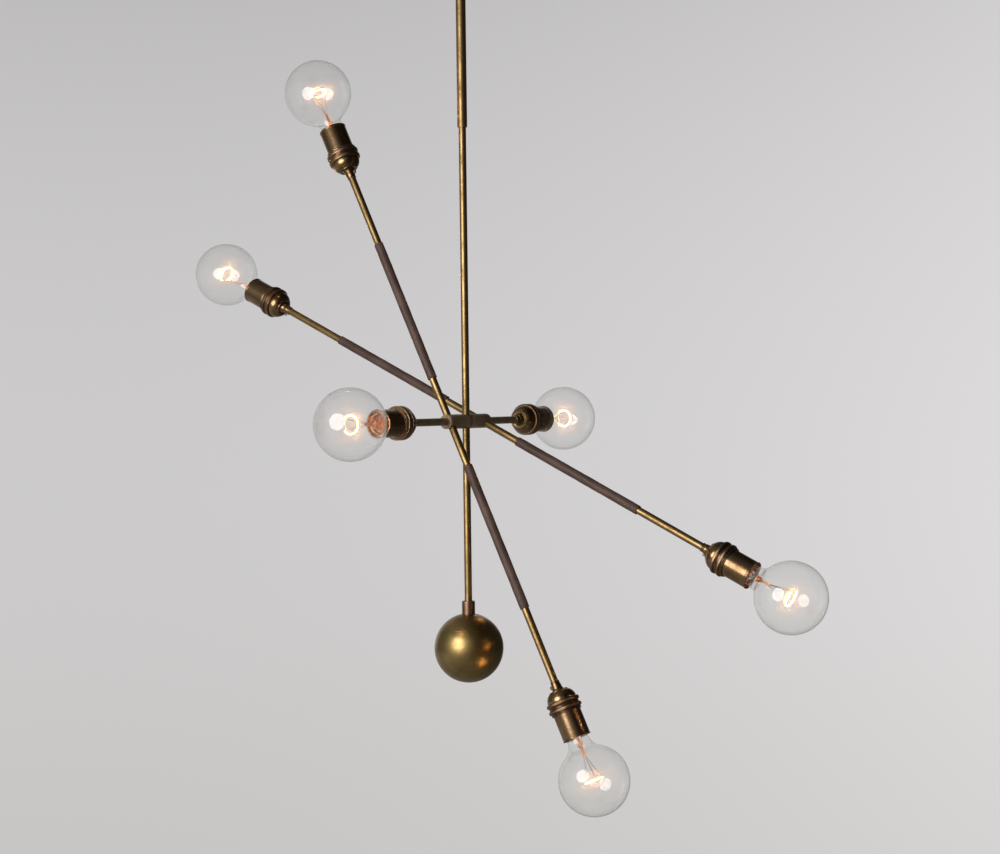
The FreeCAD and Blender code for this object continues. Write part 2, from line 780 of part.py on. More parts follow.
BASE_RIM = "(holder_length - base_sink)"
BASE_TIP = f"({BASE_RIM} - base_length)"
CONTACT_TOP = f"({BASE_TIP} - end_gap)"
screw_shell = tube(
    "screw_shell_tube",
    "screw_shell_radius - screw_shell_wall",
    "screw_shell_radius",
    f"{CAVITY_FLOOR} + seat_gap",
    f"{CAVITY_FLOOR} + seat_gap + screw_shell_length",
)
centre_contact = turned(
    "contact_turned",
    [
        at("0", CORE_START),
        at("contact_radius", CORE_START),
        at("contact_radius", f"{CONTACT_TOP} - contact_head_height"),
        at("contact_head", f"{CONTACT_TOP} - contact_head_height"),
        at("contact_head", CONTACT_TOP),
        at("0", CONTACT_TOP),
    ],
)
RING_START = "(dome_end + cap_skirt + seat_gap)"
shared_masters = {
    "shade_rings": [
        shade_ring("ring_one", RING_START),
        shade_ring("ring_two", f"{RING_START} + ring_length + seat_gap"),
    ],
    "holder_shells": [holder_shell()],
    "socket_cores": [socket_core()],
    "socket_contacts": [screw_shell, centre_contact],
}
holder_masters = {
    way: {"holder_caps": [holder_cap(way)], "neck_screws": [neck_screw(way)], **shared_masters}
    for way in NECK_TURNS
}

# ---------------------------------------------------------------- bulb
GLOBE_CENTRE = "(holder_length + globe_stand_off)"
NECK_DROP = "sqrt((globe_radius + glass_neck_curve)^2 - (glass_neck_radius + glass_neck_curve)^2)"


def globe():
    """A blown globe: its neck leaves the base and meets the ball in a hollow curve."""

    def meeting(radius):
        """Where a ball of that radius meets the hollow curve, which shares its centre."""
        share = f"({radius}) / (globe_radius + glass_neck_curve)"
        return (
            f"(glass_neck_radius + glass_neck_curve) * {share}",
            f"{GLOBE_CENTRE} - {NECK_DROP} * {share}",
        )

    foot = "holder_length - glass_foot_depth"
    neck = f"{GLOBE_CENTRE} - {NECK_DROP}"
    inner_radius = "globe_radius - glass_wall"
    return turned(
        "globe_blown",
        [
            at("glass_foot_radius - glass_wall", foot),
            at("glass_foot_radius", foot),
            at("glass_foot_radius", f"{neck} - glass_rim_rise"),
            bend("glass_neck_radius", neck, "glass_neck_curve", -1),
            bend(*meeting("globe_radius"), "globe_radius", 1),
            at("0", f"{GLOBE_CENTRE} + globe_radius"),
            bend("0", f"{GLOBE_CENTRE} + {inner_radius}", inner_radius, -1),
            bend(*meeting(inner_radius), "glass_neck_curve + glass_wall", 1),
            at("glass_neck_radius - glass_wall", neck),
            at("glass_foot_radius - glass_wall", f"{neck} - glass_rim_rise + glass_wall / 2"),
        ],
    )


def bulb_base():
    """The screw base: a tip, an insulating cone and a thin shell that holds the glass."""
    cone = f"{BASE_TIP} + base_tip_height"
    shell = f"{cone} + base_cone_height"
    return turned(
        "base_turned",
        [
            at("0", BASE_TIP),
            at("base_tip_radius", BASE_TIP),
            at("base_tip_radius", cone),
            at("base_radius", shell),
            at("base_radius", BASE_RIM),
            at("base_radius - base_wall", BASE_RIM),
            at("base_radius - base_wall", f"{shell} + base_floor"),
            at("0", f"{shell} + base_floor"),
        ],
    )


LEAD_TURN = f"{QUARTER} - filament_gap / 2"
MOUNT_WIRES = [
    ("lead_right", "lead_radius", "lead_foot", LEAD_TURN),
    ("lead_left", "lead_radius", "lead_foot", f"{FLIP} - ({LEAD_TURN})"),
    ("support_right", "support_radius", "lead_foot", f"{LEAD_TURN} - (360 - filament_gap) / 4"),
    ("support_back", "support_radius", "lead_foot", f"-{QUARTER}"),
    ("support_left", "support_radius", "lead_foot", f"{FLIP} - ({LEAD_TURN}) + (360 - filament_gap) / 4"),
]


def bulb_mount():
    """The glass mount inside the globe. Leads and supports hold an open loop of filament square to the axis."""
    foot = "(holder_length - glass_foot_depth + fit_gap)"
    press_end = f"({foot} + press_top)"
    glass = turned(
        "mount_glass",
        [
            at("flare_radius - flare_wall", foot),
            at("flare_radius", foot),
            at("flare_radius", f"{foot} + flare_wall"),
            at("press_radius", f"{foot} + flare_height"),
            at("press_radius", press_end),
            at("0", press_end),
            at("0", f"{foot} + flare_height - flare_wall"),
            at("flare_radius - flare_wall", f"{foot} + flare_wall"),
        ],
    )
    loop = doc.addObject("Part::Torus", "filament_loop")
    loop.setExpression("Radius1", cell("filament_radius"))
    loop.setExpression("Radius2", cell("filament_wire"))
    loop.setExpression("Angle3", cell("360 - filament_gap"))
    loop.Placement = FreeCAD.Placement(VECTOR(), FreeCAD.Rotation(ALONG_Z, FLIP))
    loop.setExpression("Placement.Rotation.Angle", cell(f"{QUARTER} + filament_gap / 2"))
    loop.setExpression("Placement.Base.z", cell(GLOBE_CENTRE))
    root = f"({press_end} - lead_bite)"
    rise = f"({GLOBE_CENTRE} - {root})"
    wires = []
    for name, radius, foot, turn in MOUNT_WIRES:
        across = f"(filament_radius * cos(({turn}) * 1 deg) - {foot} * cos(({turn}) * 1 deg))"
        away = f"(filament_radius * sin(({turn}) * 1 deg) - {foot} * sin(({turn}) * 1 deg))"
        lean = f"sqrt({across}^2 + {away}^2)"
        wire = rod(f"mount_{name}", radius, f"sqrt({lean}^2 + {rise}^2)")
        across_axis = VECTOR(-amount(away), amount(across), 0)
        wire.Placement = FreeCAD.Placement(VECTOR(), FreeCAD.Rotation(across_axis, QUARTER))
        wire.setExpression("Placement.Rotation.Angle", cell(f"atan({lean} / {rise})"))
        move(wire, f"{foot} * cos(({turn}) * 1 deg)", f"{foot} * sin(({turn}) * 1 deg)", root)
        wires.append(wire)
    return fuse("mount_joined", [glass, loop, *wires])


bulb_masters = {"bulb_glass": globe(), "bulb_base": bulb_base(), "bulb_mount": bulb_mount()}

# ---------------------------------------------------------------- both sides of the hub
for side in SIDES:
    keep(f"{side}_barrel", barrel(side))
    keep(f"{side}_end_plug", end_plug(side))
    keep(f"{side}_short_arm", aim(copy_of(f"{side}_short_arm_link", short_arm), side, "end"))
    arms, sleeves, wires = [], [], []
    for port in PORTS:
        wire = copy_of(f"{side}_{port}_wires", wire_pairs[port])
        wires.append(aim(wire, side, port, WIRE_ROOT[port]))
        if port != "end":
            arms.append(aim(copy_of(f"{side}_{port}_arm", long_arm), side, port))
            sleeves.append(aim(copy_of(f"{side}_{port}_leather", leather), side, port))
    keep(f"{side}_long_arms", group(f"{side}_arm_pair", arms))
    keep(f"{side}_leather_sleeves", group(f"{side}_leather_pair", sleeves))
    keep(f"{side}_arm_wires", group(f"{side}_wire_group", wires))
    for node in holder_masters["across"]:
        copies = []
        for port in PORTS:
            for number, master in enumerate(holder_masters[NECK_WAYS[side, port]][node]):
                link = copy_of(f"{side}_{port}_{node}_{number}", master)
                copies.append(aim(link, side, port, HEAD_START[port]))
        keep(f"{side}_{node}", group(f"{side}_{node}_group", copies))
    for port in PORTS:
        for node, master in bulb_masters.items():
            link = copy_of(f"{side}_{port}_{node}_link", master)
            keep(f"{side}_{port}_{node}", aim(link, side, port, HEAD_START[port]))

# ---------------------------------------------------------------- below the hub
BALL_CENTRE = "(hub_drop + ball_drop)"
INNER_BALL = "(ball_radius - ball_wall)"


def on_ball(radius, rise):
    """The radius from the axis of a point that high above the ball's centre."""
    return f"sqrt(({radius})^2 - ({rise})^2)"


def cap_height(radius, out):
    """The depth of a point on the ball's upper half that far from the axis."""
    return f"{BALL_CENTRE} - sqrt(({radius})^2 - ({out})^2)"


def ball_collar():
    """A plain collar on the pipe. Its foot is cut to the ball's crown."""
    hole = "pipe_radius + fit_gap"
    top = f"({BALL_CENTRE} - collar_rise)"
    return turned(
        "collar_turned",
        [
            at(hole, top),
            at("collar_radius - collar_chamfer", top),
            at("collar_radius", f"{top} + collar_chamfer"),
            at("collar_radius", f"{cap_height('ball_radius', 'collar_radius')} - seat_gap"),
            at(hole, f"{cap_height('ball_radius', hole)} - 2 * seat_gap"),
        ],
    )


def ball_cap():
    """The ball's upper shell, with the pipe through its crown."""
    hole = "pipe_radius + fit_gap"
    seam = f"{BALL_CENTRE} - seam_rise"
    return turned(
        "ball_cap_spun",
        [
            bend(hole, cap_height("ball_radius", hole), "ball_radius", 1),
            at(on_ball("ball_radius", "seam_rise"), seam),
            bend(on_ball(INNER_BALL, "seam_rise"), seam, INNER_BALL, -1),
            at(hole, cap_height(INNER_BALL, hole)),
        ],
    )


def ball_bowl():
    """The ball's lower shell. A thin lip at its rim stands up inside the cap."""
    rim_rise = "(seam_rise - seam_gap)"
    lip_out = f"({INNER_BALL} - seam_gap)"
    lip_in = f"({lip_out} - lip_wall)"
    lip_top = "(seam_rise + lip_rise)"
    lip_foot = "(seam_rise - lip_root)"
    wall_start = f"({lip_foot} - lip_blend)"
    return turned(
        "ball_bowl_spun",
        [
            bend(on_ball("ball_radius", rim_rise), f"{BALL_CENTRE} - {rim_rise}", "ball_radius", 1),
            at("0", f"{BALL_CENTRE} + ball_radius"),
            bend("0", f"{BALL_CENTRE} + {INNER_BALL}", INNER_BALL, -1),
            at(on_ball(INNER_BALL, wall_start), f"{BALL_CENTRE} - {wall_start}"),
            bend(on_ball(lip_in, lip_foot), f"{BALL_CENTRE} - {lip_foot}", lip_in, -1),
            at(on_ball(lip_in, lip_top), f"{BALL_CENTRE} - {lip_top}"),
            bend(on_ball(lip_out, lip_top), f"{BALL_CENTRE} - {lip_top}", lip_out, 1),
            at(on_ball(lip_out, rim_rise), f"{BALL_CENTRE} - {rim_rise}"),
        ],
    )


BALL_NUT_TOP = f"({cap_height(INNER_BALL, 'ball_nut_flats / sqrt(3)')} + seat_gap)"
keep(
    "lower_pipe",
    hang(
        tube(
            "lower_pipe_tube",
            "pipe_bore",
            "pipe_radius",
            f"hub_drop + {PIPE_STOP}",
            f"{BALL_NUT_TOP} + ball_nut_height + pipe_below_nut",
        )
    ),
)
keep("ball_collar", hang(ball_collar()))
keep("ball_cap", hang(ball_cap()))
keep("ball_bowl", hang(ball_bowl()))
keep(
    "ball_nut",
    hang(
        hexagon_nut("ball_nut_cut", "ball_nut_flats", "ball_nut_height", "pipe_radius + fit_gap"),
        BALL_NUT_TOP,
    ),
)

# ---------------------------------------------------------------- check and write
doc.recompute()
failed = [o.Name for o in doc.Objects if any(word in o.State for word in ("Invalid", "Error"))]
if failed:
    raise SystemExit(f"failed objects: {failed}")
shapes = {name: Part.getShape(thing) for name, thing in parts.items()}
for name, shape in shapes.items():
    if shape.isNull() or not shape.isValid() or not shape.Solids:
        raise SystemExit(f"{name} has no valid solid")
os.makedirs("parts", exist_ok=True)
for name, shape in shapes.items():
    shape.exportStep(f"parts/{name}.step")
    print(f"{name:28s} solids {len(shape.Solids)}  volume {shape.Volume:10.1f}")
print(f"{len(shapes)} sub-parts")
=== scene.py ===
"""Dresses the six-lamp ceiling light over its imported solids, and stands it in a plain pale studio.

The classes hold sizes in millimetres, as a workshop drawing does, and the meshes are made in metres.
A turned piece is drawn along its own Z. `hung` turns that Z down from the ceiling and `aimed` lays it
along an arm, so a piece is drawn once and used on every arm.
"""

import logging
import math
from collections.abc import Callable, Iterable, Sequence
from dataclasses import dataclass, replace
from enum import Enum
from functools import cache

import bpy
import numpy as np
from mathutils import Matrix


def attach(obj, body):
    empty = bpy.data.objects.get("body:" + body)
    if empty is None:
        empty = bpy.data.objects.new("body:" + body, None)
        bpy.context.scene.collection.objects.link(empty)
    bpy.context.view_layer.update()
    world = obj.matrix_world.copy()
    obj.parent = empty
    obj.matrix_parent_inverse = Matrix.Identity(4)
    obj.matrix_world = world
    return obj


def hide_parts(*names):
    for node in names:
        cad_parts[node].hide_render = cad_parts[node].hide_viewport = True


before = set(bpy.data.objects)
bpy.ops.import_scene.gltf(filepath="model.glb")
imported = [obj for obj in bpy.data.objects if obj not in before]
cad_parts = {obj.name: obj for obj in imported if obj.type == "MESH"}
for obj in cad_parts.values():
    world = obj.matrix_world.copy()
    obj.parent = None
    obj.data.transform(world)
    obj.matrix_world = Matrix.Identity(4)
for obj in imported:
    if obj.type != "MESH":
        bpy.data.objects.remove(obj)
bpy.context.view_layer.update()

LOG = logging.getLogger("ceiling_light")
MM = 0.001
TURN = 2 * math.pi
QUARTER = math.pi / 2
TINY = 1e-6

Colour = tuple[float, float, float]
Grid = np.ndarray
Shaped = tuple[Grid, Grid]
Shaping = Callable[[Grid, Grid, Grid], Shaped]


# ---------------- outlines
class Outline:
    """A closed outline of (radius, height) corners for a turned piece, counter-clockwise."""

    def __init__(self, start: tuple[float, float], *runs: tuple[float, ...]) -> None:
        """Draws the outline run by run.

        Args:
            start: the first corner, as its distance from the axis and its place along it.
            runs: for a straight run, its end corner and, if it is divided, into how many steps. For an arc,
                its end corner, the arc's radius, 1 to turn left or -1 to turn right, and its steps.
        """
        self.corners = [np.array([start])]
        for radius, height, *rest in runs:
            draw = self._arc if len(rest) > 1 else self._line
            self.corners.append(draw(self.corners[-1][-1], np.array([radius, height]), *rest))

    @staticmethod
    def _line(start: np.ndarray, end: np.ndarray, steps: int = 1) -> np.ndarray:
        """Points on a straight run: start + t (end - start)."""
        return start + np.linspace(0, 1, steps + 1)[1:, None] * (end - start)

    @staticmethod
    def _arc(start: np.ndarray, end: np.ndarray, curve: float, way: int, steps: int) -> np.ndarray:
        """Points on an arc: centre + curve (cos a, sin a), with the centre beside the chord."""
        chord = end - start
        half = np.hypot(*chord) / 2
        rise = math.sqrt(max(curve * curve - half * half, 0.0))
        centre = (start + end) / 2 + np.array([-chord[1], chord[0]]) / (2 * half) * rise * way
        first, last = (math.atan2(*(p - centre)[::-1]) for p in (start, end))
        swept = (way * (last - first)) % TURN
        angle = first + way * np.linspace(0, swept, steps + 1)[1:]
        return centre + curve * np.stack([np.cos(angle), np.sin(angle)], 1)

    def eased(self, by: float = 0.2, least: float = 25.0) -> tuple[np.ndarray, np.ndarray]:
        """Rounds each sharp corner with a bend, (1-t)^2 A + 2t(1-t) P + t^2 B, between two guard points.

        Args:
            by: how far back along each side the bend starts.
            least: the smallest change of direction, in degrees, that counts as a corner.

        Returns:
            The points, and for each its mark of wear and painted light: 1 on a corner that stands out, which
            the finishes paint paler as rubbed wear and a painted highlight, -1 in one that falls in, which
            they paint darker as grime and painted shade.
        """
        points = np.concatenate(self.corners)
        points = points[np.hypot(*(points - np.roll(points, 1, 0)).T) > TINY]
        before, after = points - np.roll(points, 1, 0), np.roll(points, -1, 0) - points
        long_before, long_after = np.hypot(*before.T), np.hypot(*after.T)
        cross = before[:, 0] * after[:, 1] - before[:, 1] * after[:, 0]
        bend = np.arctan2(cross, (before * after).sum(1))
        corner = (np.abs(bend) > math.radians(least)) & (points[:, 0] > TINY)
        room = np.minimum(long_before, long_after)
        cut = np.where(corner, np.minimum(by, 0.3 * room), 0.0)
        guard = np.where(corner, np.minimum(3 * by, 0.45 * room), 0.0)
        back, ahead = before / long_before[:, None], after / long_after[:, None]
        t = np.array([0.0, 0.5, 1.0])[None, :, None]
        start, end = points - back * cut[:, None], points + ahead * cut[:, None]
        curve = (1 - t) ** 2 * start[:, None] + 2 * t * (1 - t) * points[:, None] + t**2 * end[:, None]
        guards = points - back * guard[:, None], points + ahead * guard[:, None]
        rows = np.concatenate([guards[0][:, None], curve, guards[1][:, None]], 1).reshape(-1, 2)
        # Outstanding corners get +1 and inner corners -1, fading to 0 at the guard points. The finishes paint
        # +1 paler, as rubbed wear and a painted highlight on the edge, and -1 darker, as grime and painted
        # shade in the hollow.
        corner_sign = np.sign(bend) * corner
        wear_and_light = (corner_sign[:, None] * np.array([0, 0.6, 1, 0.6, 0])).reshape(-1)
        fresh = np.hypot(*(rows - np.roll(rows, 1, 0)).T) > TINY
        return rows[fresh], wear_and_light[fresh]


def tube_outline(inner: float, outer: float, start: float, end: float) -> Outline:
    """A plain tube's outline."""
    return Outline((inner, start), (outer, start), (outer, end), (inner, end))


# ---------------- surfaces
@dataclass
class Skin:
    """A closed surface. `own` is each point's place on the piece before it was moved, in metres."""

    points: np.ndarray
    quads: np.ndarray
    triangles: np.ndarray
    own: np.ndarray
    # Per point: +1 on outstanding corners, painted as wear and a painted highlight; -1 in inner corners,
    # painted as grime and painted shade.
    wear_and_light: np.ndarray
    seed: float = 0.0

    def placed(self, place: Matrix, seed: float = 0.0) -> "Skin":
        """The surface moved by a matrix, M p for every point p, with a number that sets its pattern apart."""
        full = np.array(place)
        moved = self.points @ full[:3, :3].T + full[:3, 3]
        return replace(self, points=moved, seed=self.seed + seed)


def joined(skins: Sequence[Skin]) -> tuple[Skin, np.ndarray]:
    """Several surfaces as one, with each point's seed."""
    starts = np.cumsum([0] + [len(s.points) for s in skins[:-1]])
    whole = Skin(
        np.concatenate([s.points for s in skins]),
        np.concatenate([s.quads + start for s, start in zip(skins, starts)]),
        np.concatenate([s.triangles + start for s, start in zip(skins, starts)]),
        np.concatenate([s.own for s in skins]),
        np.concatenate([s.wear_and_light for s in skins]),
    )
    return whole, np.concatenate([np.full(len(s.points), s.seed) for s in skins])


def turned(outline: Outline, sides: int = 64, ease: float = 0.2, shape: Shaping | None = None) -> Skin:
    """Sweeps a closed outline round Z: (r cos a, r sin a, h), where shape may first change r and h by a.

    Args:
        outline: corners counter-clockwise, so that the faces point outwards.
        sides: how many steps make the full turn.
        ease: how much the sharp corners are rounded.
        shape: takes grids of radius, height and angle, and gives back new radius and height.

    Returns:
        The closed surface. Where the outline touches the axis, the ring closes into one point.
    """
    rows, wear_and_light = outline.eased(ease)
    count = len(rows)
    angle = np.broadcast_to(np.arange(sides) / sides * TURN, (count, sides))
    radius = np.broadcast_to(rows[:, :1], (count, sides))
    height = np.broadcast_to(rows[:, 1:], (count, sides))
    if shape:
        on_axis = radius < TINY
        new_radius, height = shape(radius, height, angle)
        radius = np.where(on_axis, 0.0, new_radius)
    grid = np.stack([radius * np.cos(angle), radius * np.sin(angle), height], -1).reshape(-1, 3)
    number = np.arange(count * sides).reshape(count, sides)
    pole = rows[:, 0] < TINY
    number[pole] = number[pole, :1]
    ahead, right = np.roll(number, -1, 0), np.roll(number, -1, 1)
    both = np.roll(ahead, -1, 1)
    loops = np.stack([number, right, both, ahead], -1)
    up = np.roll(pole, -1)
    quads = loops[~pole & ~up].reshape(-1, 4)
    fans_in = loops[~pole & up][..., [0, 1, 2]].reshape(-1, 3)
    fans_out = loops[pole & ~up][..., [0, 2, 3]].reshape(-1, 3)
    triangles = np.concatenate([fans_in, fans_out])
    used, packed = np.unique(np.concatenate([quads.ravel(), triangles.ravel()]), return_inverse=True)
    points = grid[used]
    return Skin(
        points,
        packed[: quads.size].reshape(-1, 4),
        packed[quads.size :].reshape(-1, 3),
        points * MM,
        np.repeat(wear_and_light, sides)[used],
    )


def drawn_wire(paths: np.ndarray, beside: np.ndarray, radius: float | np.ndarray, sides: int = 6) -> Skin:
    """Carries a circle along open paths: p + r (n1 cos a + n2 sin a), n1 square to the path and to `beside`.

    Args:
        paths: (wires, points, 3) in millimetres.
        beside: a direction for each point, or one for all, which is never along the path.
        radius: of the wire, for all or for each point.
        sides: of the circle.

    Returns:
        All the wires as one surface with closed ends.
    """
    wires, length = paths.shape[:2]
    along = np.gradient(paths, axis=1)
    along /= np.linalg.norm(along, axis=-1, keepdims=True)
    first = np.cross(np.broadcast_to(beside, paths.shape), along)
    first /= np.linalg.norm(first, axis=-1, keepdims=True)
    second = np.cross(along, first)
    angle = np.arange(sides) / sides * TURN
    ring = first[..., None, :] * np.cos(angle)[:, None] + second[..., None, :] * np.sin(angle)[:, None]
    reach = np.broadcast_to(radius, paths.shape[:2])[..., None, None]
    tube = (paths[:, :, None] + reach * ring).reshape(-1, 3)
    number = np.arange(wires * length * sides).reshape(wires, length, sides)
    right = np.roll(number, -1, 2)
    loops = np.stack([number[:, :-1], right[:, :-1], right[:, 1:], number[:, 1:]], -1)
    tips = number.size + np.arange(2 * wires).reshape(2, wires, 1)
    shape = number[:, 0].shape
    start = np.stack([np.broadcast_to(tips[0], shape), right[:, 0], number[:, 0]], -1)
    end = np.stack([np.broadcast_to(tips[1], shape), number[:, -1], right[:, -1]], -1)
    points = np.concatenate([tube, paths[:, 0], paths[:, -1]])
    triangles = np.concatenate([start.reshape(-1, 3), end.reshape(-1, 3)])
    return Skin(points, loops.reshape(-1, 4), triangles, points * MM, np.zeros(len(points)))


def thread_shape(pitch: float, depth: float, start: float, end: float, least: float = 0.0) -> Shaping:
    """A screw thread: r falls by depth (1 - cos(2 pi (h / pitch - a / turn))) / 2 between two heights."""

    def shape(radius: Grid, height: Grid, angle: Grid) -> Shaped:
        """Lowers the radius along a helix, and fades the thread out at both ends."""
        wave = (1 - np.cos(TURN * (height / pitch - angle / TURN))) / 2
        inside = np.clip(np.minimum(height - start, end - height) / (pitch / 3), 0, 1)
        return radius - depth * wave * inside * (radius > least), height

    return shape


def hexagon_shape(flats: float) -> Shaping:
    """Six flats: the radius is at most flats / 2 / cos(angle from the middle of the nearest flat)."""

    def shape(radius: Grid, height: Grid, angle: Grid) -> Shaped:
        """Cuts the flats into a round blank, which leaves the chamfered corners of a nut."""
        sixth = TURN / 6
        return np.minimum(radius, flats / 2 / np.cos(angle % sixth - sixth / 2)), height

    return shape


def milled_shape(notches: int, depth: float, least: float) -> Shaping:
    """Milled notches: beyond the radius `least` it falls by depth |cos(notches a / 2)|."""

    def shape(radius: Grid, height: Grid, angle: Grid) -> Shaped:
        """Cuts the notches where the radius is largest."""
        return radius - depth * np.abs(np.cos(notches * angle / 2)) ** 3 * (radius > least), height

    return shape


# ---------------- places
class Side(Enum):
    """The side of the hub that an arm is on."""

    FRONT = -1
    REAR = 1

    @property
    def label(self) -> str:
        """The word that starts the names of this side's pieces."""
        return self.name.lower()

    @property
    def body(self) -> str:
        """The moving body that this side's arms and lampholders ride on."""
        return self.label + "_arms"

    @property
    def tilt(self) -> float:
        """The long arm's angle from the vertical, in degrees."""
        return 25.2 if self is Side.FRONT else 64.1


class Port(Enum):
    """The end of an arm that a lampholder is on, and the distance from the hub's axis to its neck."""

    TOP = "top"
    BOTTOM = "bottom"
    END = "end"

    @property
    def neck(self) -> float:
        """The distance from the hub's axis to the start of the lampholder's neck."""
        return 124.0 if self is Port.END else 381.0


HUB_DROP = 690.0
ARM_OFFSET = 39.5
PIPE = 5.15
PIPE_BORE = 3.5
SNUG = PIPE + 0.05


def hung(depth: float = 0.0) -> Matrix:
    """Turned over about X, so that a piece's own Z is the depth below the ceiling."""
    return Matrix.Translation((0, 0, -depth)) @ Matrix.Rotation(math.pi, 4, "X")


def aimed(side: Side, port: Port, along: float = 0.0) -> Matrix:
    """A piece's own Z laid along an arm, with its origin that far from the hub's axis."""
    if port is Port.END:
        turn = Matrix.Rotation(side.value * QUARTER, 4, "Y")
        middle = Matrix.Translation((0, 0, -HUB_DROP))
    else:
        degrees = -side.tilt if port is Port.TOP else 180 - side.tilt
        turn = Matrix.Rotation(math.radians(degrees), 4, "X")
        middle = Matrix.Translation((side.value * ARM_OFFSET, 0, -HUB_DROP))
    return middle @ turn @ Matrix.Translation((0, 0, along))


# ---------------- shader sheets
def operator(operation: str, swapped: bool = False) -> Callable[["Reading", object], "Reading"]:
    """A method of readings that adds one Math node, with the other value first if it is swapped."""

    def method(self: "Reading", other: object) -> "Reading":
        """The node's result."""
        left, right = (other, self) if swapped else (self, other)
        return self.sheet.add("Math", {"operation": operation}, {0: left, 1: right})

    return method


class Reading:
    """A value on its way through a material. Arithmetic on it adds Math nodes."""

    __add__ = __radd__ = operator("ADD")
    __mul__ = __rmul__ = operator("MULTIPLY")
    __sub__, __rsub__ = operator("SUBTRACT"), operator("SUBTRACT", swapped=True)
    __pow__ = operator("POWER")
    at_most, at_least = operator("MINIMUM"), operator("MAXIMUM")

    def __init__(self, sheet: "NodeSheet", socket: bpy.types.NodeSocket) -> None:
        """Wraps an output socket."""
        self.sheet, self.socket = sheet, socket

    def ramped(self, low: float, high: float, start: float = 0.0, end: float = 1.0) -> "Reading":
        """A smooth step from start to end as the value goes from low to high."""
        settings = {"interpolation_type": "SMOOTHSTEP"}
        return self.sheet.add("MapRange", settings, {0: self, 1: low, 2: high, 3: start, 4: end})


class NodeSheet:
    """One material's nodes."""

    def __init__(self, name: str, tree: bpy.types.NodeTree | None = None) -> None:
        """Starts an empty material, or empties a tree that is given."""
        self.material = None
        if tree is None:
            self.material = bpy.data.materials.new(name)
            self.material.use_nodes = True
            tree = self.material.node_tree
        self.tree = tree
        tree.nodes.clear()

    def add(
        self, kind: str, settings: dict | None = None, sockets: dict | None = None, output: object = 0
    ) -> Reading:
        """Adds any node.

        Args:
            kind: the node's type without its leading word.
            settings: the node's own settings, which are set first.
            sockets: values or readings for the inputs, by name or number.
            output: the name or number of the output that is read.

        Returns:
            The reading of that output.
        """
        node = self.tree.nodes.new("ShaderNode" + kind)
        for key, value in (settings or {}).items():
            setattr(node, key, value)
        for key, value in (sockets or {}).items():
            self.feed(node.inputs[key], value)
        return Reading(self, node.outputs[output])

    def feed(self, socket: bpy.types.NodeSocket, value: object) -> None:
        """Links a reading to a socket, or sets the socket's own value."""
        if isinstance(value, Reading):
            self.tree.links.new(value.socket, socket)
        elif isinstance(value, tuple) and len(socket.default_value) == len(value) + 1:
            socket.default_value = (*value, 1.0)
        else:
            socket.default_value = value

    def mixed(self, share: object, first: object, second: object) -> Reading:
        """One colour that goes over to another as share goes from 0 to 1."""
        settings = {"data_type": "RGBA", "clamp_factor": True}
        return self.add("Mix", settings, {0: share, 6: first, 7: second}, 2)

    def place(self, own: bool = True) -> Reading:
        """The point's place on the piece before it was moved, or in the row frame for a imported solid."""
        if own:
            return self.add("Attribute", {"attribute_name": "own_place"}, output="Vector")
        return self.add("TexCoord", output="Object")

    def height(self, place: Reading) -> Reading:
        """How far up a place is."""
        return self.add("SeparateXYZ", None, {0: place}, 2)

    def dot(self, place: Reading, way: Sequence[float]) -> Reading:
        """How far a place lies along a direction."""
        return self.add("VectorMath", {"operation": "DOT_PRODUCT"}, {0: place, 1: tuple(way)}, "Value")

    def ray(self, kind: str) -> Reading:
        """1 for light of that kind, such as camera or glossy."""
        return self.add("LightPath", output=f"Is {kind} Ray")

    def own_number(self, name: str) -> Reading:
        """One of the piece's own numbers."""
        return self.add("Attribute", {"attribute_name": name}, output="Fac")

    def stretched(self, place: Reading, across: float, along: float) -> Reading:
        """A place scaled for a pattern that is finer one way: x and y by one number, z by another."""
        return self.add("VectorMath", {"operation": "MULTIPLY"}, {0: place, 1: (across, across, along)})

    def noise(
        self, place: Reading, scale: float, seed: object = 0.0, detail: float = 3.0, rough: float = 0.5
    ) -> Reading:
        """A cloud pattern from 0 to 1."""
        sockets = {"Vector": place, "W": seed, "Scale": scale, "Detail": detail, "Roughness": rough}
        return self.add("TexNoise", {"noise_dimensions": "4D"}, sockets)

    def bump(self, height: Reading, depth: float, strength: float = 1.0) -> Reading:
        """A bumped normal from a height of 0 to 1, that deep in metres."""
        return self.add("Bump", None, {"Height": height, "Distance": depth, "Strength": strength}, "Normal")

    def surface(self, **sockets: object) -> Reading:
        """A Principled shader. Names of sockets are given with underscores."""
        named = {key.replace("_", " "): value for key, value in sockets.items()}
        return self.add("BsdfPrincipled", None, named)

    def finish(self, shader: Reading) -> bpy.types.Material | None:
        """Closes the sheet with its output node."""
        output = self.tree.nodes.new("ShaderNodeOutputMaterial" if self.material else "ShaderNodeOutputWorld")
        self.tree.links.new(shader.socket, output.inputs["Surface"])
        return self.material


# ---------------- finishes
class Marks(Enum):
    """The way that the fine tool marks run: drawn along a tube, or turned round the axis."""

    DRAWN = (900.0, 14.0)
    TURNED = (25.0, 1400.0)


@dataclass(frozen=True)
class Finish:
    """What a piece is made of: the material's name and its slot."""

    name: str
    slot: str

    def shader(self, sheet: NodeSheet) -> Reading:
        """The finish's shader on a sheet."""
        raise NotImplementedError

    @cache
    def material(self) -> bpy.types.Material:
        """The material, which is made once."""
        sheet = NodeSheet(self.name)
        return sheet.finish(self.shader(sheet))


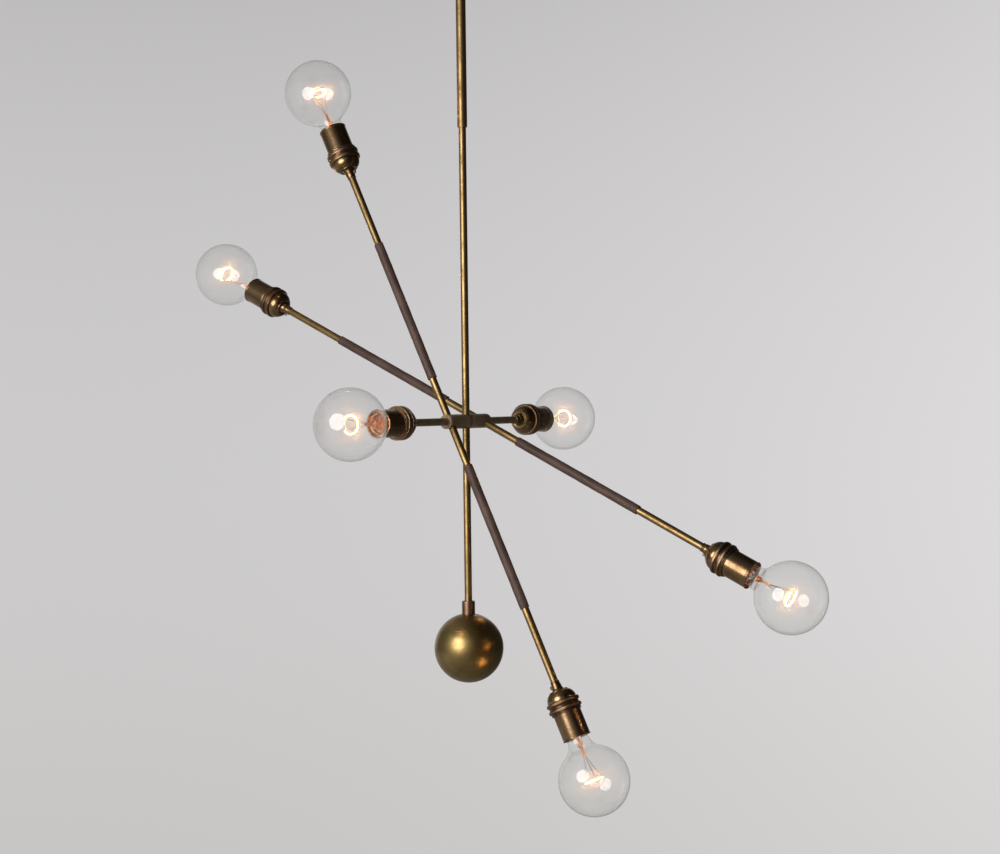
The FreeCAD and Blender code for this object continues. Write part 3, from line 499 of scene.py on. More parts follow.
@dataclass(frozen=True)
class AgedMetal(Finish):
    """Brass or bronze under a patina: cloudy dark patches, paler outstanding edges that are rubbed wear and a
    painted highlight, darker inner corners that are grime and painted shade, fine tool marks and small pits.
    """

    # The colour of the outstanding edges: rubbed wear with a painted highlight.
    wear_and_light: Colour
    body: Colour
    dark: Colour
    roughness: float
    marks: Marks = Marks.DRAWN
    cover: float = 0.5
    mark_depth: float = 0.000012
    metallic: float = 1.0
    coat: float = 0.0

    def shader(self, sheet: NodeSheet) -> Reading:
        """The finish's shader on a sheet."""
        place, seed, edge = sheet.place(), sheet.own_number("own_seed"), sheet.own_number("own_rub")
        lines = sheet.noise(sheet.stretched(place, *self.marks.value), 1.0, seed, 2.0)
        clouds = sheet.noise(place, 42.0, seed, 4.0, 0.6)
        flecks = sheet.noise(place, 520.0, seed, 2.0, 0.6)
        cover = (clouds * 0.62 + flecks * 0.2 + lines * 0.18).ramped(self.cover - 0.13, self.cover + 0.13)
        aged = sheet.mixed(cover, self.dark, self.body)
        # Outstanding edges are painted paler: partly rubbed wear, partly a painted highlight. Inner corners
        # are painted darker: partly grime, partly painted shade.
        worn_and_lit = (edge.at_least(0.0) * (flecks * 0.8 + 0.5)).at_most(1.0)
        grime_and_shade = (edge * -1.0).at_least(0.0) * 0.8
        colour = sheet.mixed(grime_and_shade, sheet.mixed(worn_and_lit, aged, self.wear_and_light), self.dark)
        rough = (1 - cover) * 0.14 + lines * 0.1 + flecks * 0.06 + (self.roughness - 0.12) - worn_and_lit * 0.05
        relief = lines * 0.6 + flecks * 0.2 + clouds * 0.3
        return sheet.surface(
            Base_Color=colour,
            Metallic=self.metallic,
            Roughness=rough,
            Coat_Weight=self.coat,
            Coat_Roughness=0.03,
            Normal=sheet.bump(relief, self.mark_depth, 0.6),
        )


@dataclass(frozen=True)
class SewnLeather(Finish):
    """Brown leather: pebbled grain, paler in rubbed patches, paler on its outstanding edges as wear and a
    painted highlight, and darker in its inner corners as grime and painted shade.
    """

    name: str = "sewn_leather"
    slot: str = "brown_leather"
    colour: Colour = (0.074, 0.041, 0.031)
    wear_and_light: Colour = (0.125, 0.075, 0.06)
    dark: Colour = (0.03, 0.018, 0.014)

    def shader(self, sheet: NodeSheet) -> Reading:
        """The finish's shader on a sheet."""
        place, seed = sheet.place(), sheet.own_number("own_seed")
        pebbles = sheet.add("TexVoronoi", {"feature": "F1"}, {"Vector": place, "Scale": 1150.0}, "Distance")
        creases = sheet.noise(sheet.stretched(place, 260.0, 90.0), 1.0, seed, 4.0, 0.65)
        clouds = sheet.noise(place, 34.0, seed, 3.0)
        hide = sheet.mixed(clouds.ramped(0.35, 0.68), self.colour, self.wear_and_light)
        hide = sheet.mixed(pebbles.ramped(0.35, 0.75) * 0.55, hide, self.dark)
        # Outstanding edges are painted paler, as wear and a painted highlight; inner corners darker, as grime
        # and painted shade.
        edge = sheet.own_number("own_rub")
        hide = sheet.mixed(edge.at_least(0.0) * 0.5, hide, self.wear_and_light)
        hide = sheet.mixed((edge * -1.0).at_least(0.0) * 0.8, hide, self.dark)
        relief = (1 - pebbles) * 0.5 + creases * 0.5
        return sheet.surface(
            Base_Color=hide,
            Roughness=pebbles * 0.18 + clouds * 0.12 + 0.4,
            Normal=sheet.bump(relief, 0.00018, 0.55),
            Specular_IOR_Level=0.42,
        )


@dataclass(frozen=True)
class WaxedThread(Finish):
    """Pale waxed thread with its twist."""

    name: str = "waxed_thread"
    slot: str = "brown_leather"
    colour: Colour = (0.14, 0.085, 0.055)
    dark: Colour = (0.05, 0.03, 0.02)

    def shader(self, sheet: NodeSheet) -> Reading:
        """The finish's shader on a sheet."""
        place = sheet.place()
        wave = {"Vector": place, "Scale": 900.0, "Distortion": 1.0}
        twist = sheet.add("TexWave", {"bands_direction": "DIAGONAL"}, wave)
        return sheet.surface(
            Base_Color=sheet.mixed(twist, self.dark, self.colour),
            Roughness=twist * -0.2 + 0.65,
            Normal=sheet.bump(twist, 0.00008, 0.5),
        )


@dataclass(frozen=True)
class BlownGlass(Finish):
    """Clear blown glass with the faintest cords and ripples, and a darker grey-green rim: partly the glass's
    own tint, partly painted shade.
    """

    name: str = "blown_glass"
    slot: str = "clear_glass"
    clear: Colour = (0.99, 0.992, 0.99)
    cord: Colour = (0.975, 0.985, 0.98)
    edge: Colour = (0.6, 0.67, 0.64)
    ripple: float = 0.00003
    haze: float = 0.018
    amber: Colour | None = None

    def shader(self, sheet: NodeSheet) -> Reading:
        """The finish's shader on a sheet."""
        place, seed = sheet.place(), sheet.own_number("own_seed")
        cords = sheet.noise(sheet.stretched(place, 60.0, 20.0), 1.0, seed, 2.0)
        tint = sheet.mixed(cords.ramped(0.35, 0.7), self.clear, self.cord)
        share: Reading | float = self.haze
        if self.amber:
            height = sheet.height(place)
            tint = sheet.mixed(height.ramped(0.08, 0.09), tint, self.amber)
            share = height.ramped(0.086, 0.092, 0.02, self.haze)
        # Towards the rim the tint turns a darker grey-green: partly the glass's own colour along its longer
        # path there, partly a painted shade for the darker band that refraction shows at the rim.
        facing = sheet.add("LayerWeight", None, {"Blend": 0.3}, "Facing")
        tint = sheet.mixed(facing**2.6, tint, self.edge)
        shared = {"Base_Color": tint, "IOR": 1.46, "Transmission_Weight": 1.0}
        shared["Normal"] = sheet.bump(cords, self.ripple, 0.4)
        clear = sheet.surface(Roughness=0.0, Specular_IOR_Level=0.4, **shared)
        hazy = sheet.surface(Roughness=0.45, **shared)
        return sheet.add("MixShader", None, {0: share, 1: clear, 2: hazy})


@dataclass(frozen=True)
class GlowingCoil(Finish):
    """A hot tungsten coil: white in the middle of its loop and orange towards its cooler ends."""

    name: str = "glowing_coil"
    slot: str = "lamp_mount"
    hot: Colour = (1.0, 0.47, 0.13)
    cooler: Colour = (1.0, 0.3, 0.06)
    strength: float = 200.0

    def shader(self, sheet: NodeSheet) -> Reading:
        """The finish's shader on a sheet."""
        place, seed = sheet.place(), sheet.own_number("own_seed")
        flicker = sheet.noise(place, 180.0, seed, 1.0)
        # For the coil this per-point value is how near each point is to the coil's ends, where the glow is
        # cooler and more orange.
        cool = (sheet.own_number("own_rub") * 0.85 + flicker * 0.15).ramped(0.0, 1.0)
        return sheet.surface(
            Base_Color=sheet.mixed(flicker, (0.3, 0.28, 0.26), (0.2, 0.18, 0.17)),
            Metallic=1.0,
            Roughness=0.4,
            Emission_Color=sheet.mixed(cool, self.hot, self.cooler),
            Emission_Strength=self.strength,
        )


@dataclass(frozen=True)
class LeadWire(Finish):
    """Copper-clad where it is sealed in the glass, nickel above it."""

    name: str = "lead_wire"
    slot: str = "lamp_mount"
    copper: Colour = (0.86, 0.36, 0.16)
    nickel: Colour = (0.16, 0.14, 0.125)
    seal: float = 0.1065

    def shader(self, sheet: NodeSheet) -> Reading:
        """The finish's shader on a sheet."""
        place = sheet.place()
        height = sheet.height(place)
        dull = sheet.noise(sheet.stretched(place, 1500.0, 200.0), 1.0)
        bare = height.ramped(self.seal - 0.001, self.seal + 0.001)
        colour = sheet.mixed(bare, self.copper, self.nickel)
        return sheet.surface(
            Base_Color=sheet.mixed(dull * 0.4, colour, (0.2, 0.15, 0.12)),
            Metallic=1.0,
            Roughness=dull * 0.2 + 0.22,
            Normal=sheet.bump(dull, 0.00001, 0.4),
        )


@dataclass(frozen=True)
class Moulded(Finish):
    """Moulded or glazed insulating material with a slightly uneven surface."""

    colour: Colour
    mottle: Colour
    roughness: float = 0.32
    own: bool = True

    def shader(self, sheet: NodeSheet) -> Reading:
        """The finish's shader on a sheet."""
        place = sheet.place(self.own)
        swirl = sheet.noise(place, 220.0, 0.0, 4.0, 0.6)
        grain = sheet.noise(place, 2200.0, 0.0, 2.0)
        return sheet.surface(
            Base_Color=sheet.mixed(swirl.ramped(0.35, 0.7), self.colour, self.mottle),
            Roughness=swirl * 0.12 + grain * 0.08 + (self.roughness - 0.1),
            Normal=sheet.bump(swirl * 0.6 + grain * 0.4, 0.00003, 0.5),
        )


@dataclass(frozen=True)
class ZincSteel(Finish):
    """Zinc-plated steel: large soft spangles and fine scratches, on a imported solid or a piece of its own."""

    name: str = "zinc_steel"
    slot: str = "zinc_steel"
    own: bool = True

    def shader(self, sheet: NodeSheet) -> Reading:
        """The finish's shader on a sheet."""
        place = sheet.place(self.own)
        cells = sheet.add("TexVoronoi", {"feature": "SMOOTH_F1"}, {"Vector": place, "Scale": 210.0}, "Color")
        level = sheet.add("SeparateColor", None, {0: cells})
        scratch = sheet.noise(sheet.stretched(place, 1300.0, 60.0), 1.0)
        return sheet.surface(
            Base_Color=sheet.mixed(level, (0.42, 0.43, 0.43), (0.66, 0.66, 0.63)),
            Metallic=1.0,
            Roughness=level * 0.16 + scratch * 0.1 + 0.22,
            Normal=sheet.bump(level * 0.4 + scratch * 0.6, 0.00002, 0.6),
        )


BRASS = AgedMetal(
    "aged_brass", "aged_brass", (0.62, 0.43, 0.22), (0.38, 0.255, 0.11), (0.2, 0.125, 0.045), 0.4, cover=0.47
)
TURNED_BRASS = replace(BRASS, name="aged_brass_turned", marks=Marks.TURNED, roughness=0.34)
SPUN_BALL = replace(
    BRASS,
    name="aged_brass_spun",
    wear_and_light=(0.42, 0.31, 0.14),
    body=(0.36, 0.26, 0.1),
    dark=(0.24, 0.165, 0.055),
    roughness=0.33,
    marks=Marks.TURNED,
    mark_depth=0.000025,
    coat=0.25,
)
BRONZE = AgedMetal(
    "dark_bronze",
    "dark_bronze",
    (0.56, 0.42, 0.3),
    (0.39, 0.275, 0.17),
    (0.2, 0.135, 0.085),
    0.44,
    metallic=0.75,
)
TURNED_BRONZE = replace(BRONZE, name="dark_bronze_turned", marks=Marks.TURNED)
DARK_BRASS = replace(
    BRONZE,
    name="darkened_brass",
    body=(0.38, 0.29, 0.165),
    dark=(0.2, 0.15, 0.085),
    roughness=0.42,
    metallic=0.8,
)
RING_BRONZE = AgedMetal(
    "ring_bronze",
    "dark_bronze",
    (0.6, 0.42, 0.28),
    (0.31, 0.2, 0.12),
    (0.14, 0.085, 0.045),
    0.3,
    Marks.TURNED,
)
SHELL_BRASS = replace(
    BRASS,
    name="aged_brass_shell",
    wear_and_light=(0.6, 0.43, 0.28),
    body=(0.3, 0.195, 0.105),
    dark=(0.15, 0.09, 0.042),
    roughness=0.25,
    marks=Marks.TURNED,
)
CAP_BRASS = replace(SHELL_BRASS, name="aged_brass_cap", body=(0.33, 0.22, 0.11), roughness=0.22)
COPPER = AgedMetal(
    "copper_brown", "copper_brown", (0.55, 0.35, 0.24), (0.34, 0.2, 0.13), (0.16, 0.09, 0.055), 0.38
)
BASE_METAL = AgedMetal(
    "base_metal", "base_metal", (0.9, 0.74, 0.45), (0.72, 0.56, 0.32), (0.42, 0.3, 0.16), 0.26, Marks.TURNED
)
CONTACT_METAL = replace(BASE_METAL, name="contact_metal", body=(0.62, 0.4, 0.2))
LEATHER = SewnLeather()
THREAD = WaxedThread()
GLASS = BlownGlass()
STEM_GLASS = BlownGlass(
    "stem_glass",
    "lamp_mount",
    (0.98, 0.97, 0.95),
    (0.95, 0.93, 0.9),
    (0.8, 0.72, 0.62),
    0.0001,
    0.25,
    (0.95, 0.6, 0.34),
)
COIL = GlowingCoil()
LEADS = LeadWire()
INSULATOR = Moulded("brown_insulator", "insulator", (0.42, 0.18, 0.075), (0.27, 0.115, 0.05))
CEMENT = Moulded("basing_cement", "base_metal", (0.45, 0.22, 0.11), (0.3, 0.14, 0.07), 0.6)
BLACK_GLASS = Moulded("black_glass", "base_metal", (0.015, 0.014, 0.016), (0.03, 0.027, 0.03), 0.2)
SHEATH_GREYS = (0.05, 0.045, 0.04), (0.09, 0.08, 0.07)
WIRE_SHEATH = Moulded("wire_sheath", "wire_insulation", *SHEATH_GREYS, 0.5, own=False)
STEEL = ZincSteel()
BAR_STEEL = ZincSteel("zinc_steel_bar", own=False)


# ---------------- making pieces
def linked(name: str, data: bpy.types.ID) -> bpy.types.Object:
    """A new object that is in the scene."""
    thing = bpy.data.objects.new(name, data)
    bpy.context.scene.collection.objects.link(thing)
    return thing


def add_piece(
    name: str,
    skins: Sequence[Skin],
    finish: Finish,
    body: str,
    stands_for: Iterable[str] = (),
    crease: float = 32.0,
) -> bpy.types.Object:
    """Makes one piece of the light out of closed surfaces.

    Args:
        name: the piece's name.
        skins: its surfaces, in millimetres, already in place.
        finish: what it is made of.
        body: the moving body that it rides on.
        stands_for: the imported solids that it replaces.
        crease: the angle, in degrees, from which an edge stays sharp.

    Returns:
        The new object.
    """
    whole, seeds = joined(skins)
    mesh = bpy.data.meshes.new(name)
    faces = whole.quads.tolist() + whole.triangles.tolist()
    mesh.from_pydata((whole.points * MM).tolist(), [], faces)
    for label, kind, key, values in (
        ("own_place", "FLOAT_VECTOR", "vector", whole.own),
        ("own_rub", "FLOAT", "value", whole.wear_and_light),
        ("own_seed", "FLOAT", "value", seeds),
    ):
        mesh.attributes.new(label, kind, "POINT").data.foreach_set(key, values.astype(np.float32).ravel())
    mesh.polygons.foreach_set("use_smooth", np.ones(len(faces), bool))
    mesh.set_sharp_from_angle(angle=math.radians(crease))
    mesh.materials.append(finish.material())
    mesh.update()
    piece = linked(name, mesh)
    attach(piece, body)
    if stands_for:
        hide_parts(*stands_for)
    LOG.info("%s: %d faces, rides on %s", name, len(faces), body)
    return piece


def paint_solid(node: str, finish: Finish) -> None:
    """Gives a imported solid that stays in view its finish."""
    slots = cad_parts[node].data.materials
    slots.clear()
    slots.append(finish.material())
    LOG.info("%s: packed solid, painted", node)


def nut(flats: float, height: float, hole: float, start: float = 0.0) -> Skin:
    """A hexagon nut with chamfered corners, which a round blank gets when its flats are cut."""
    corner = flats / math.sqrt(3)
    chamfer = corner - flats / 2 + 0.1
    end = start + height
    blank = Outline(
        (hole, start + 0.4), (hole + 0.4, start), (corner - chamfer, start), (corner, start + 0.55 * chamfer),
        (corner, end - 0.55 * chamfer), (corner - chamfer, end), (hole + 0.4, end), (hole, end - 0.4),
    )
    return turned(blank, 96, 0.08, hexagon_shape(flats))


# ---------------- ceiling
@dataclass
class Hanging:
    """Pieces that hang from the ceiling plane, each drawn by its depth below it."""

    body: str

    def _hang(self, node: str, skin: Skin, finish: Finish) -> None:
        """One piece, which stands for the solid of its name."""
        add_piece(node + "_dressed", [skin.placed(hung())], finish, self.body, [node])


@dataclass
class CeilingFixing(Hanging):
    """The bracket, its nut and nipple, the canopy cover and the swivel's housing and retainer."""

    body: str = "ceiling"
    canopy_radius: float = 62.5
    canopy_depth: float = 28.0
    canopy_wall: float = 1.2
    shoulder: float = 12.0
    rim_curl: float = 1.6

    def dress(self) -> None:
        """Builds the pieces above the stem."""
        paint_solid("ceiling_bracket", BAR_STEEL)
        self._hang("bracket_nut", nut(16.0, 4.0, SNUG, 2.0), STEEL)
        self._hang("canopy_nipple", self.nipple(), STEEL)
        self._hang("canopy_cover", self.cover(), TURNED_BRASS)
        self._hang("swivel_housing", self.housing(), TURNED_BRASS)
        self._hang("swivel_retainer", self.retainer(), TURNED_BRONZE)

    def nipple(self) -> Skin:
        """A threaded tube: its radius follows a helix."""
        outline = Outline((PIPE_BORE, 0.5), (PIPE, 0.5), (PIPE, 33.5, 130), (PIPE_BORE, 33.5))
        return turned(outline, 40, 0.1, thread_shape(0.94, 0.28, 0.5, 33.5, 4.0))

    def cover(self) -> Skin:
        """A spun cup: wall, rounded shoulder and flat face, with a raised rim and a ring at the hole."""
        r, depth, wall, bend = self.canopy_radius, self.canopy_depth, self.canopy_wall, self.shoulder
        flat, inside, hole = r - bend, depth - wall, PIPE + 0.3
        outline = Outline(
            (r - wall, 0.0), (r, 0.0), (r, self.rim_curl), (r - 0.4, self.rim_curl + 0.3),
            (r - 0.4, depth - bend, 6), (flat, depth - 0.4, bend - 0.4, 1, 16), (22.0, depth - 0.4, 4),
            (21.4, depth), (hole, depth, 3), (hole, inside), (flat, inside, 4),
            (r - wall, depth - bend, bend - wall, -1, 14),
        )
        return turned(outline, 128, 0.25)

    def housing(self) -> Skin:
        """A flanged cup that the swivel turns in, with a turned groove above its lower end."""
        top = self.canopy_depth + 0.1
        end = self.canopy_depth + 19.0
        outline = Outline(
            (SNUG, top), (15.0, top), (15.0, top + 1.5), (9.5, top + 5.2, 7.0, -1, 10), (9.5, end - 4.0, 2),
            (9.1, end - 3.6), (9.1, end - 3.0), (9.5, end - 2.6), (9.5, end), (7.5, end), (7.5, top + 6.5),
            (SNUG, top + 6.5),
        )
        return turned(outline, 80, 0.25)

    def retainer(self) -> Skin:
        """A milled collar that keeps the swivel in its housing."""
        seat = self.canopy_depth + 19.1
        top, end = seat - 4.7, seat + 2.5
        outline = Outline(
            (PIPE + 0.3, top), (7.45, top), (7.45, seat), (9.5, seat), (9.5, end - 0.6), (8.9, end),
            (PIPE + 0.3, end),
        )
        return turned(outline, 216, 0.15, milled_shape(54, 0.18, 9.3))


# ---------------- stem and hub
@dataclass
class StemAndHub(Hanging):
    """The stem with its swivel stud, the hub core and pivot, and the pipe, collar and ball below."""

    body: str = "stem"
    hub_radius: float = 10.0
    core_half: float = 7.0
    ball_depth: float = 1005.1
    ball_radius: float = 48.1
    ball_wall: float = 1.5
    seam_rise: float = 27.0

    def dress(self) -> None:
        """Builds the pieces that turn with the stem."""
        self._hang("swivel_stud", self.stud(), TURNED_BRONZE)
        self._hang("stem_pipe", turned(tube_outline(PIPE_BORE, PIPE, 57.6, 684.45), 56, 0.15), BRASS)
        self._hang("stem_sleeve", turned(tube_outline(SNUG, 6.85, 67.7, 282.7), 64, 0.35), BRASS)
        self._hang("lower_pipe", turned(tube_outline(PIPE_BORE, PIPE, 695.55, 967.0), 56, 0.15), BRASS)
        self._hang("ball_collar", self.collar(), COPPER)
        self._hang("ball_cap", self.cap(), SPUN_BALL)
        self._hang("ball_bowl", self.bowl(), SPUN_BALL)
        add_piece("hub_core_dressed", [self.core()], BRONZE, self.body, ["hub_core"])
        for node in ("hub_pivot", "pivot_nuts", "ball_nut"):
            paint_solid(node, BAR_STEEL)
        paint_solid("stem_wires", WIRE_SHEATH)

    def stud(self) -> Skin:
        """The swivel's stud: a head inside the housing, a neck and a collar with a groove for the stem."""
        outline = Outline(
            (PIPE_BORE, 37.4), (7.0, 37.4), (7.0, 42.1), (PIPE, 42.1), (PIPE, 52.6), (7.4, 52.6), (8.0, 53.2),
            (8.0, 63.4, 2), (7.6, 63.8), (7.6, 64.5), (8.0, 64.9), (8.0, 67.0), (7.4, 67.6), (SNUG, 67.6),
            (SNUG, 57.6), (PIPE_BORE, 57.6),
        )
        return turned(outline, 72, 0.18)

    def core(self) -> Skin:
        """The hub's middle block, turned about X, with a chamfer at each end."""
        r, half = self.hub_radius, self.core_half
        outline = Outline(
            (SNUG, -half), (r - 0.6, -half), (r, -half + 0.6), (r, half - 0.6, 4), (r - 0.6, half),
            (SNUG, half),
        )
        along_x = Matrix.Translation((0, 0, -HUB_DROP)) @ Matrix.Rotation(QUARTER, 4, "Y")
        return turned(outline, 96, 0.2).placed(along_x)

    def collar(self) -> Skin:
        """A plain collar whose foot is cut to the ball's crown."""
        top, out = self.ball_depth - 65.4, 9.0
        foot = self.ball_depth - self.on_ball(self.ball_radius, out) - 0.1
        crown = self.ball_depth - self.on_ball(self.ball_radius, SNUG) - 0.2
        outline = Outline((SNUG, top), (out - 0.8, top), (out, top + 0.8), (out, foot, 3), (SNUG, crown))
        return turned(outline, 72, 0.2)

    @staticmethod
    def on_ball(radius: float, rise: float) -> float:
        """The distance from the axis of a point that high above a ball's centre, or the other way round."""
        return math.sqrt(radius**2 - rise**2)

    def cap(self) -> Skin:
        """The ball's upper shell: two arcs about one centre, with the pipe's hole at the crown."""
        outer, inner = self.ball_radius, self.ball_radius - self.ball_wall
        seam = self.ball_depth - self.seam_rise
        outline = Outline(
            (SNUG, self.ball_depth - self.on_ball(outer, SNUG)),
            (self.on_ball(outer, self.seam_rise), seam, outer, 1, 28),
            (self.on_ball(inner, self.seam_rise), seam),
            (SNUG, self.ball_depth - self.on_ball(inner, SNUG), inner, -1, 24),
        )
        return turned(outline, 160, 0.3)

    def bowl(self) -> Skin:
        """The ball's lower shell, with a thin lip that stands up inside the cap."""
        outer, inner = self.ball_radius, self.ball_radius - self.ball_wall
        lip_out, lip_in = inner - 0.15, inner - 1.45
        rim, lip_top, lip_foot = self.seam_rise - 0.15, self.seam_rise + 4.0, self.seam_rise - 5.0
        start = lip_foot - 4.0
        centre = self.ball_depth
        outline = Outline(
            (self.on_ball(outer, rim), centre - rim), (0.0, centre + outer, outer, 1, 72),
            (0.0, centre + inner), (self.on_ball(inner, start), centre - start, inner, -1, 60),
            (self.on_ball(lip_in, lip_foot), centre - lip_foot),
            (self.on_ball(lip_in, lip_top), centre - lip_top, lip_in, -1, 8),
            (self.on_ball(lip_out, lip_top), centre - lip_top),
            (self.on_ball(lip_out, rim), centre - rim, lip_out, 1, 8),
        )
        return turned(outline, 160, 0.3)


# ---------------- arms
@dataclass
class OneSide:
    """Pieces that ride on the arms of one side."""

    side: Side

    def _piece(self, kind: str, skins: Sequence[Skin], finish: Finish) -> None:
        """One piece, which stands for the solid of its name."""
        node = f"{self.side.label}_{kind}"
        add_piece(node + "_dressed", skins, finish, self.side.body, [node])


@dataclass
class ArmSet(OneSide):
    """One side of the hub: the barrel and its plug, the long and short arms and the leather sleeves."""

    hub_radius: float = 10.0
    barrel_end: float = 47.5
    leather_start: float = 65.9
    leather_end: float = 276.3
    leather_radius: float = 6.6
    leather_seed: float = 5.0
    seam_angle: float = 0.6
    stitch_step: float = 3.4

    def dress(self) -> None:
        """Builds this side's pieces."""
        label = self.side.label
        end = aimed(self.side, Port.END)
        long_arm = turned(tube_outline(PIPE_BORE, PIPE, 7.7, Port.TOP.neck + 11), 56, 0.15)
        short_arm = turned(tube_outline(PIPE_BORE, PIPE, 44.9, Port.END.neck + 11), 56, 0.15)
        self._piece("barrel", [self.barrel().placed(end)], BRONZE)
        self._piece("end_plug", [self.plug().placed(end, 2.0)], TURNED_BRONZE)
        self._piece("short_arm", [short_arm.placed(end, 3.0)], DARK_BRASS)
        self._piece("long_arms", self.both_ways(long_arm), BRASS)
        self._piece("leather_sleeves", self.both_ways(self.leather(), self.leather_seed), LEATHER)
        sleeves = [f"{label}_leather_sleeves"]
        stitches = self.both_ways(self.stitches())
        add_piece(f"{label}_leather_stitching", stitches, THREAD, self.side.body, sleeves)
        paint_solid(f"{label}_arm_wires", WIRE_SHEATH)

    def both_ways(self, skin: Skin, seed: float = 0.0) -> list[Skin]:
        """A surface laid along the long arm both ways from the hub."""
        ways = Port.TOP, Port.BOTTOM
        return [skin.placed(aimed(self.side, port), seed + number) for number, port in enumerate(ways)]

    def barrel(self) -> Skin:
        """The hollow barrel, with a web and a chamfer towards the core."""
        r, start, web = self.hub_radius, 7.3, 10.3
        outline = Outline(
            (PIPE + 0.2, start), (r - 0.6, start), (r, start + 0.6), (r, self.barrel_end, 8),
            (7.7, self.barrel_end), (7.7, web), (PIPE + 0.2, web),
        )
        return turned(outline, 96, 0.2)

    def plug(self) -> Skin:
        """The plug in the barrel's outer end: a spigot, a flange with a bright chamfer and a low boss."""
        r, face = self.hub_radius, self.barrel_end + 0.1
        outer = face + 2.5
        outline = Outline(
            (SNUG, self.barrel_end - 2.6), (7.65, self.barrel_end - 2.6), (7.65, face), (r, face),
            (r, outer - 0.6), (r - 0.6, outer), (7.3, outer), (7.0, outer - 0.25), (SNUG, outer - 0.25),
        )
        return turned(outline, 96, 0.18)

    def leather(self) -> Skin:
        """A leather tube with turned-in ends: r = R - groove e^(-(arc / width)^2) - unevenness."""
        start, end, out = self.leather_start, self.leather_end, self.leather_radius
        outline = Outline(
            (SNUG, start + 0.5), (SNUG + 0.3, start), (out, start + 0.8, 0.9, 1, 6), (out, start + 2.2),
            (out - 0.22, start + 2.6), (out - 0.22, start + 3.0), (out, start + 3.5), (out, end - 3.5, 110),
            (out - 0.22, end - 3.0), (out - 0.22, end - 2.6), (out, end - 2.2), (out, end - 0.8),
            (SNUG + 0.3, end, 0.9, 1, 6), (SNUG, end - 0.5),
        )

        def shape(radius: Grid, height: Grid, angle: Grid) -> Shaped:
            """Sinks the seam and lets the outside wander by a tenth of a millimetre."""
            away = (angle - self.seam_angle + math.pi) % TURN - math.pi
            groove = 0.5 * np.exp(-((away * self.leather_radius / 0.55) ** 2))
            wander = 0.07 * np.sin(height / 9.3 + 2 * angle) + 0.05 * np.sin(height / 3.7 - 3 * angle)
            outside = radius > 6.0
            return radius - (groove + 0.12 + wander) * outside, height

        return turned(outline, 72, 0.12, shape)

    def stitches(self) -> Skin:
        """Slanted stitches over the seam: each is a low arch with the radius R - sink + rise sin(pi t)."""
        first, last = self.leather_start + 4.0, self.leather_end - 4.0
        places = np.arange(first, last, self.stitch_step)
        t = np.linspace(0, 1, 6)
        across = (t - 0.5) * 3.4
        slant = np.where(np.arange(len(places)) % 2, 1.0, -1.0)[:, None] * (t - 0.5) * self.stitch_step
        angle = self.seam_angle + across / self.leather_radius
        out = self.leather_radius - 0.5 + 0.34 * np.sin(math.pi * t)
        flat = np.stack([out * np.cos(angle), out * np.sin(angle)], -1)
        paths = np.zeros((len(places), len(t), 3))
        paths[..., :2] = flat
        paths[..., 2] = places[:, None] + slant
        outward = np.array([math.cos(self.seam_angle), math.sin(self.seam_angle), 0.0])
        return drawn_wire(paths, outward, 0.24, 5)


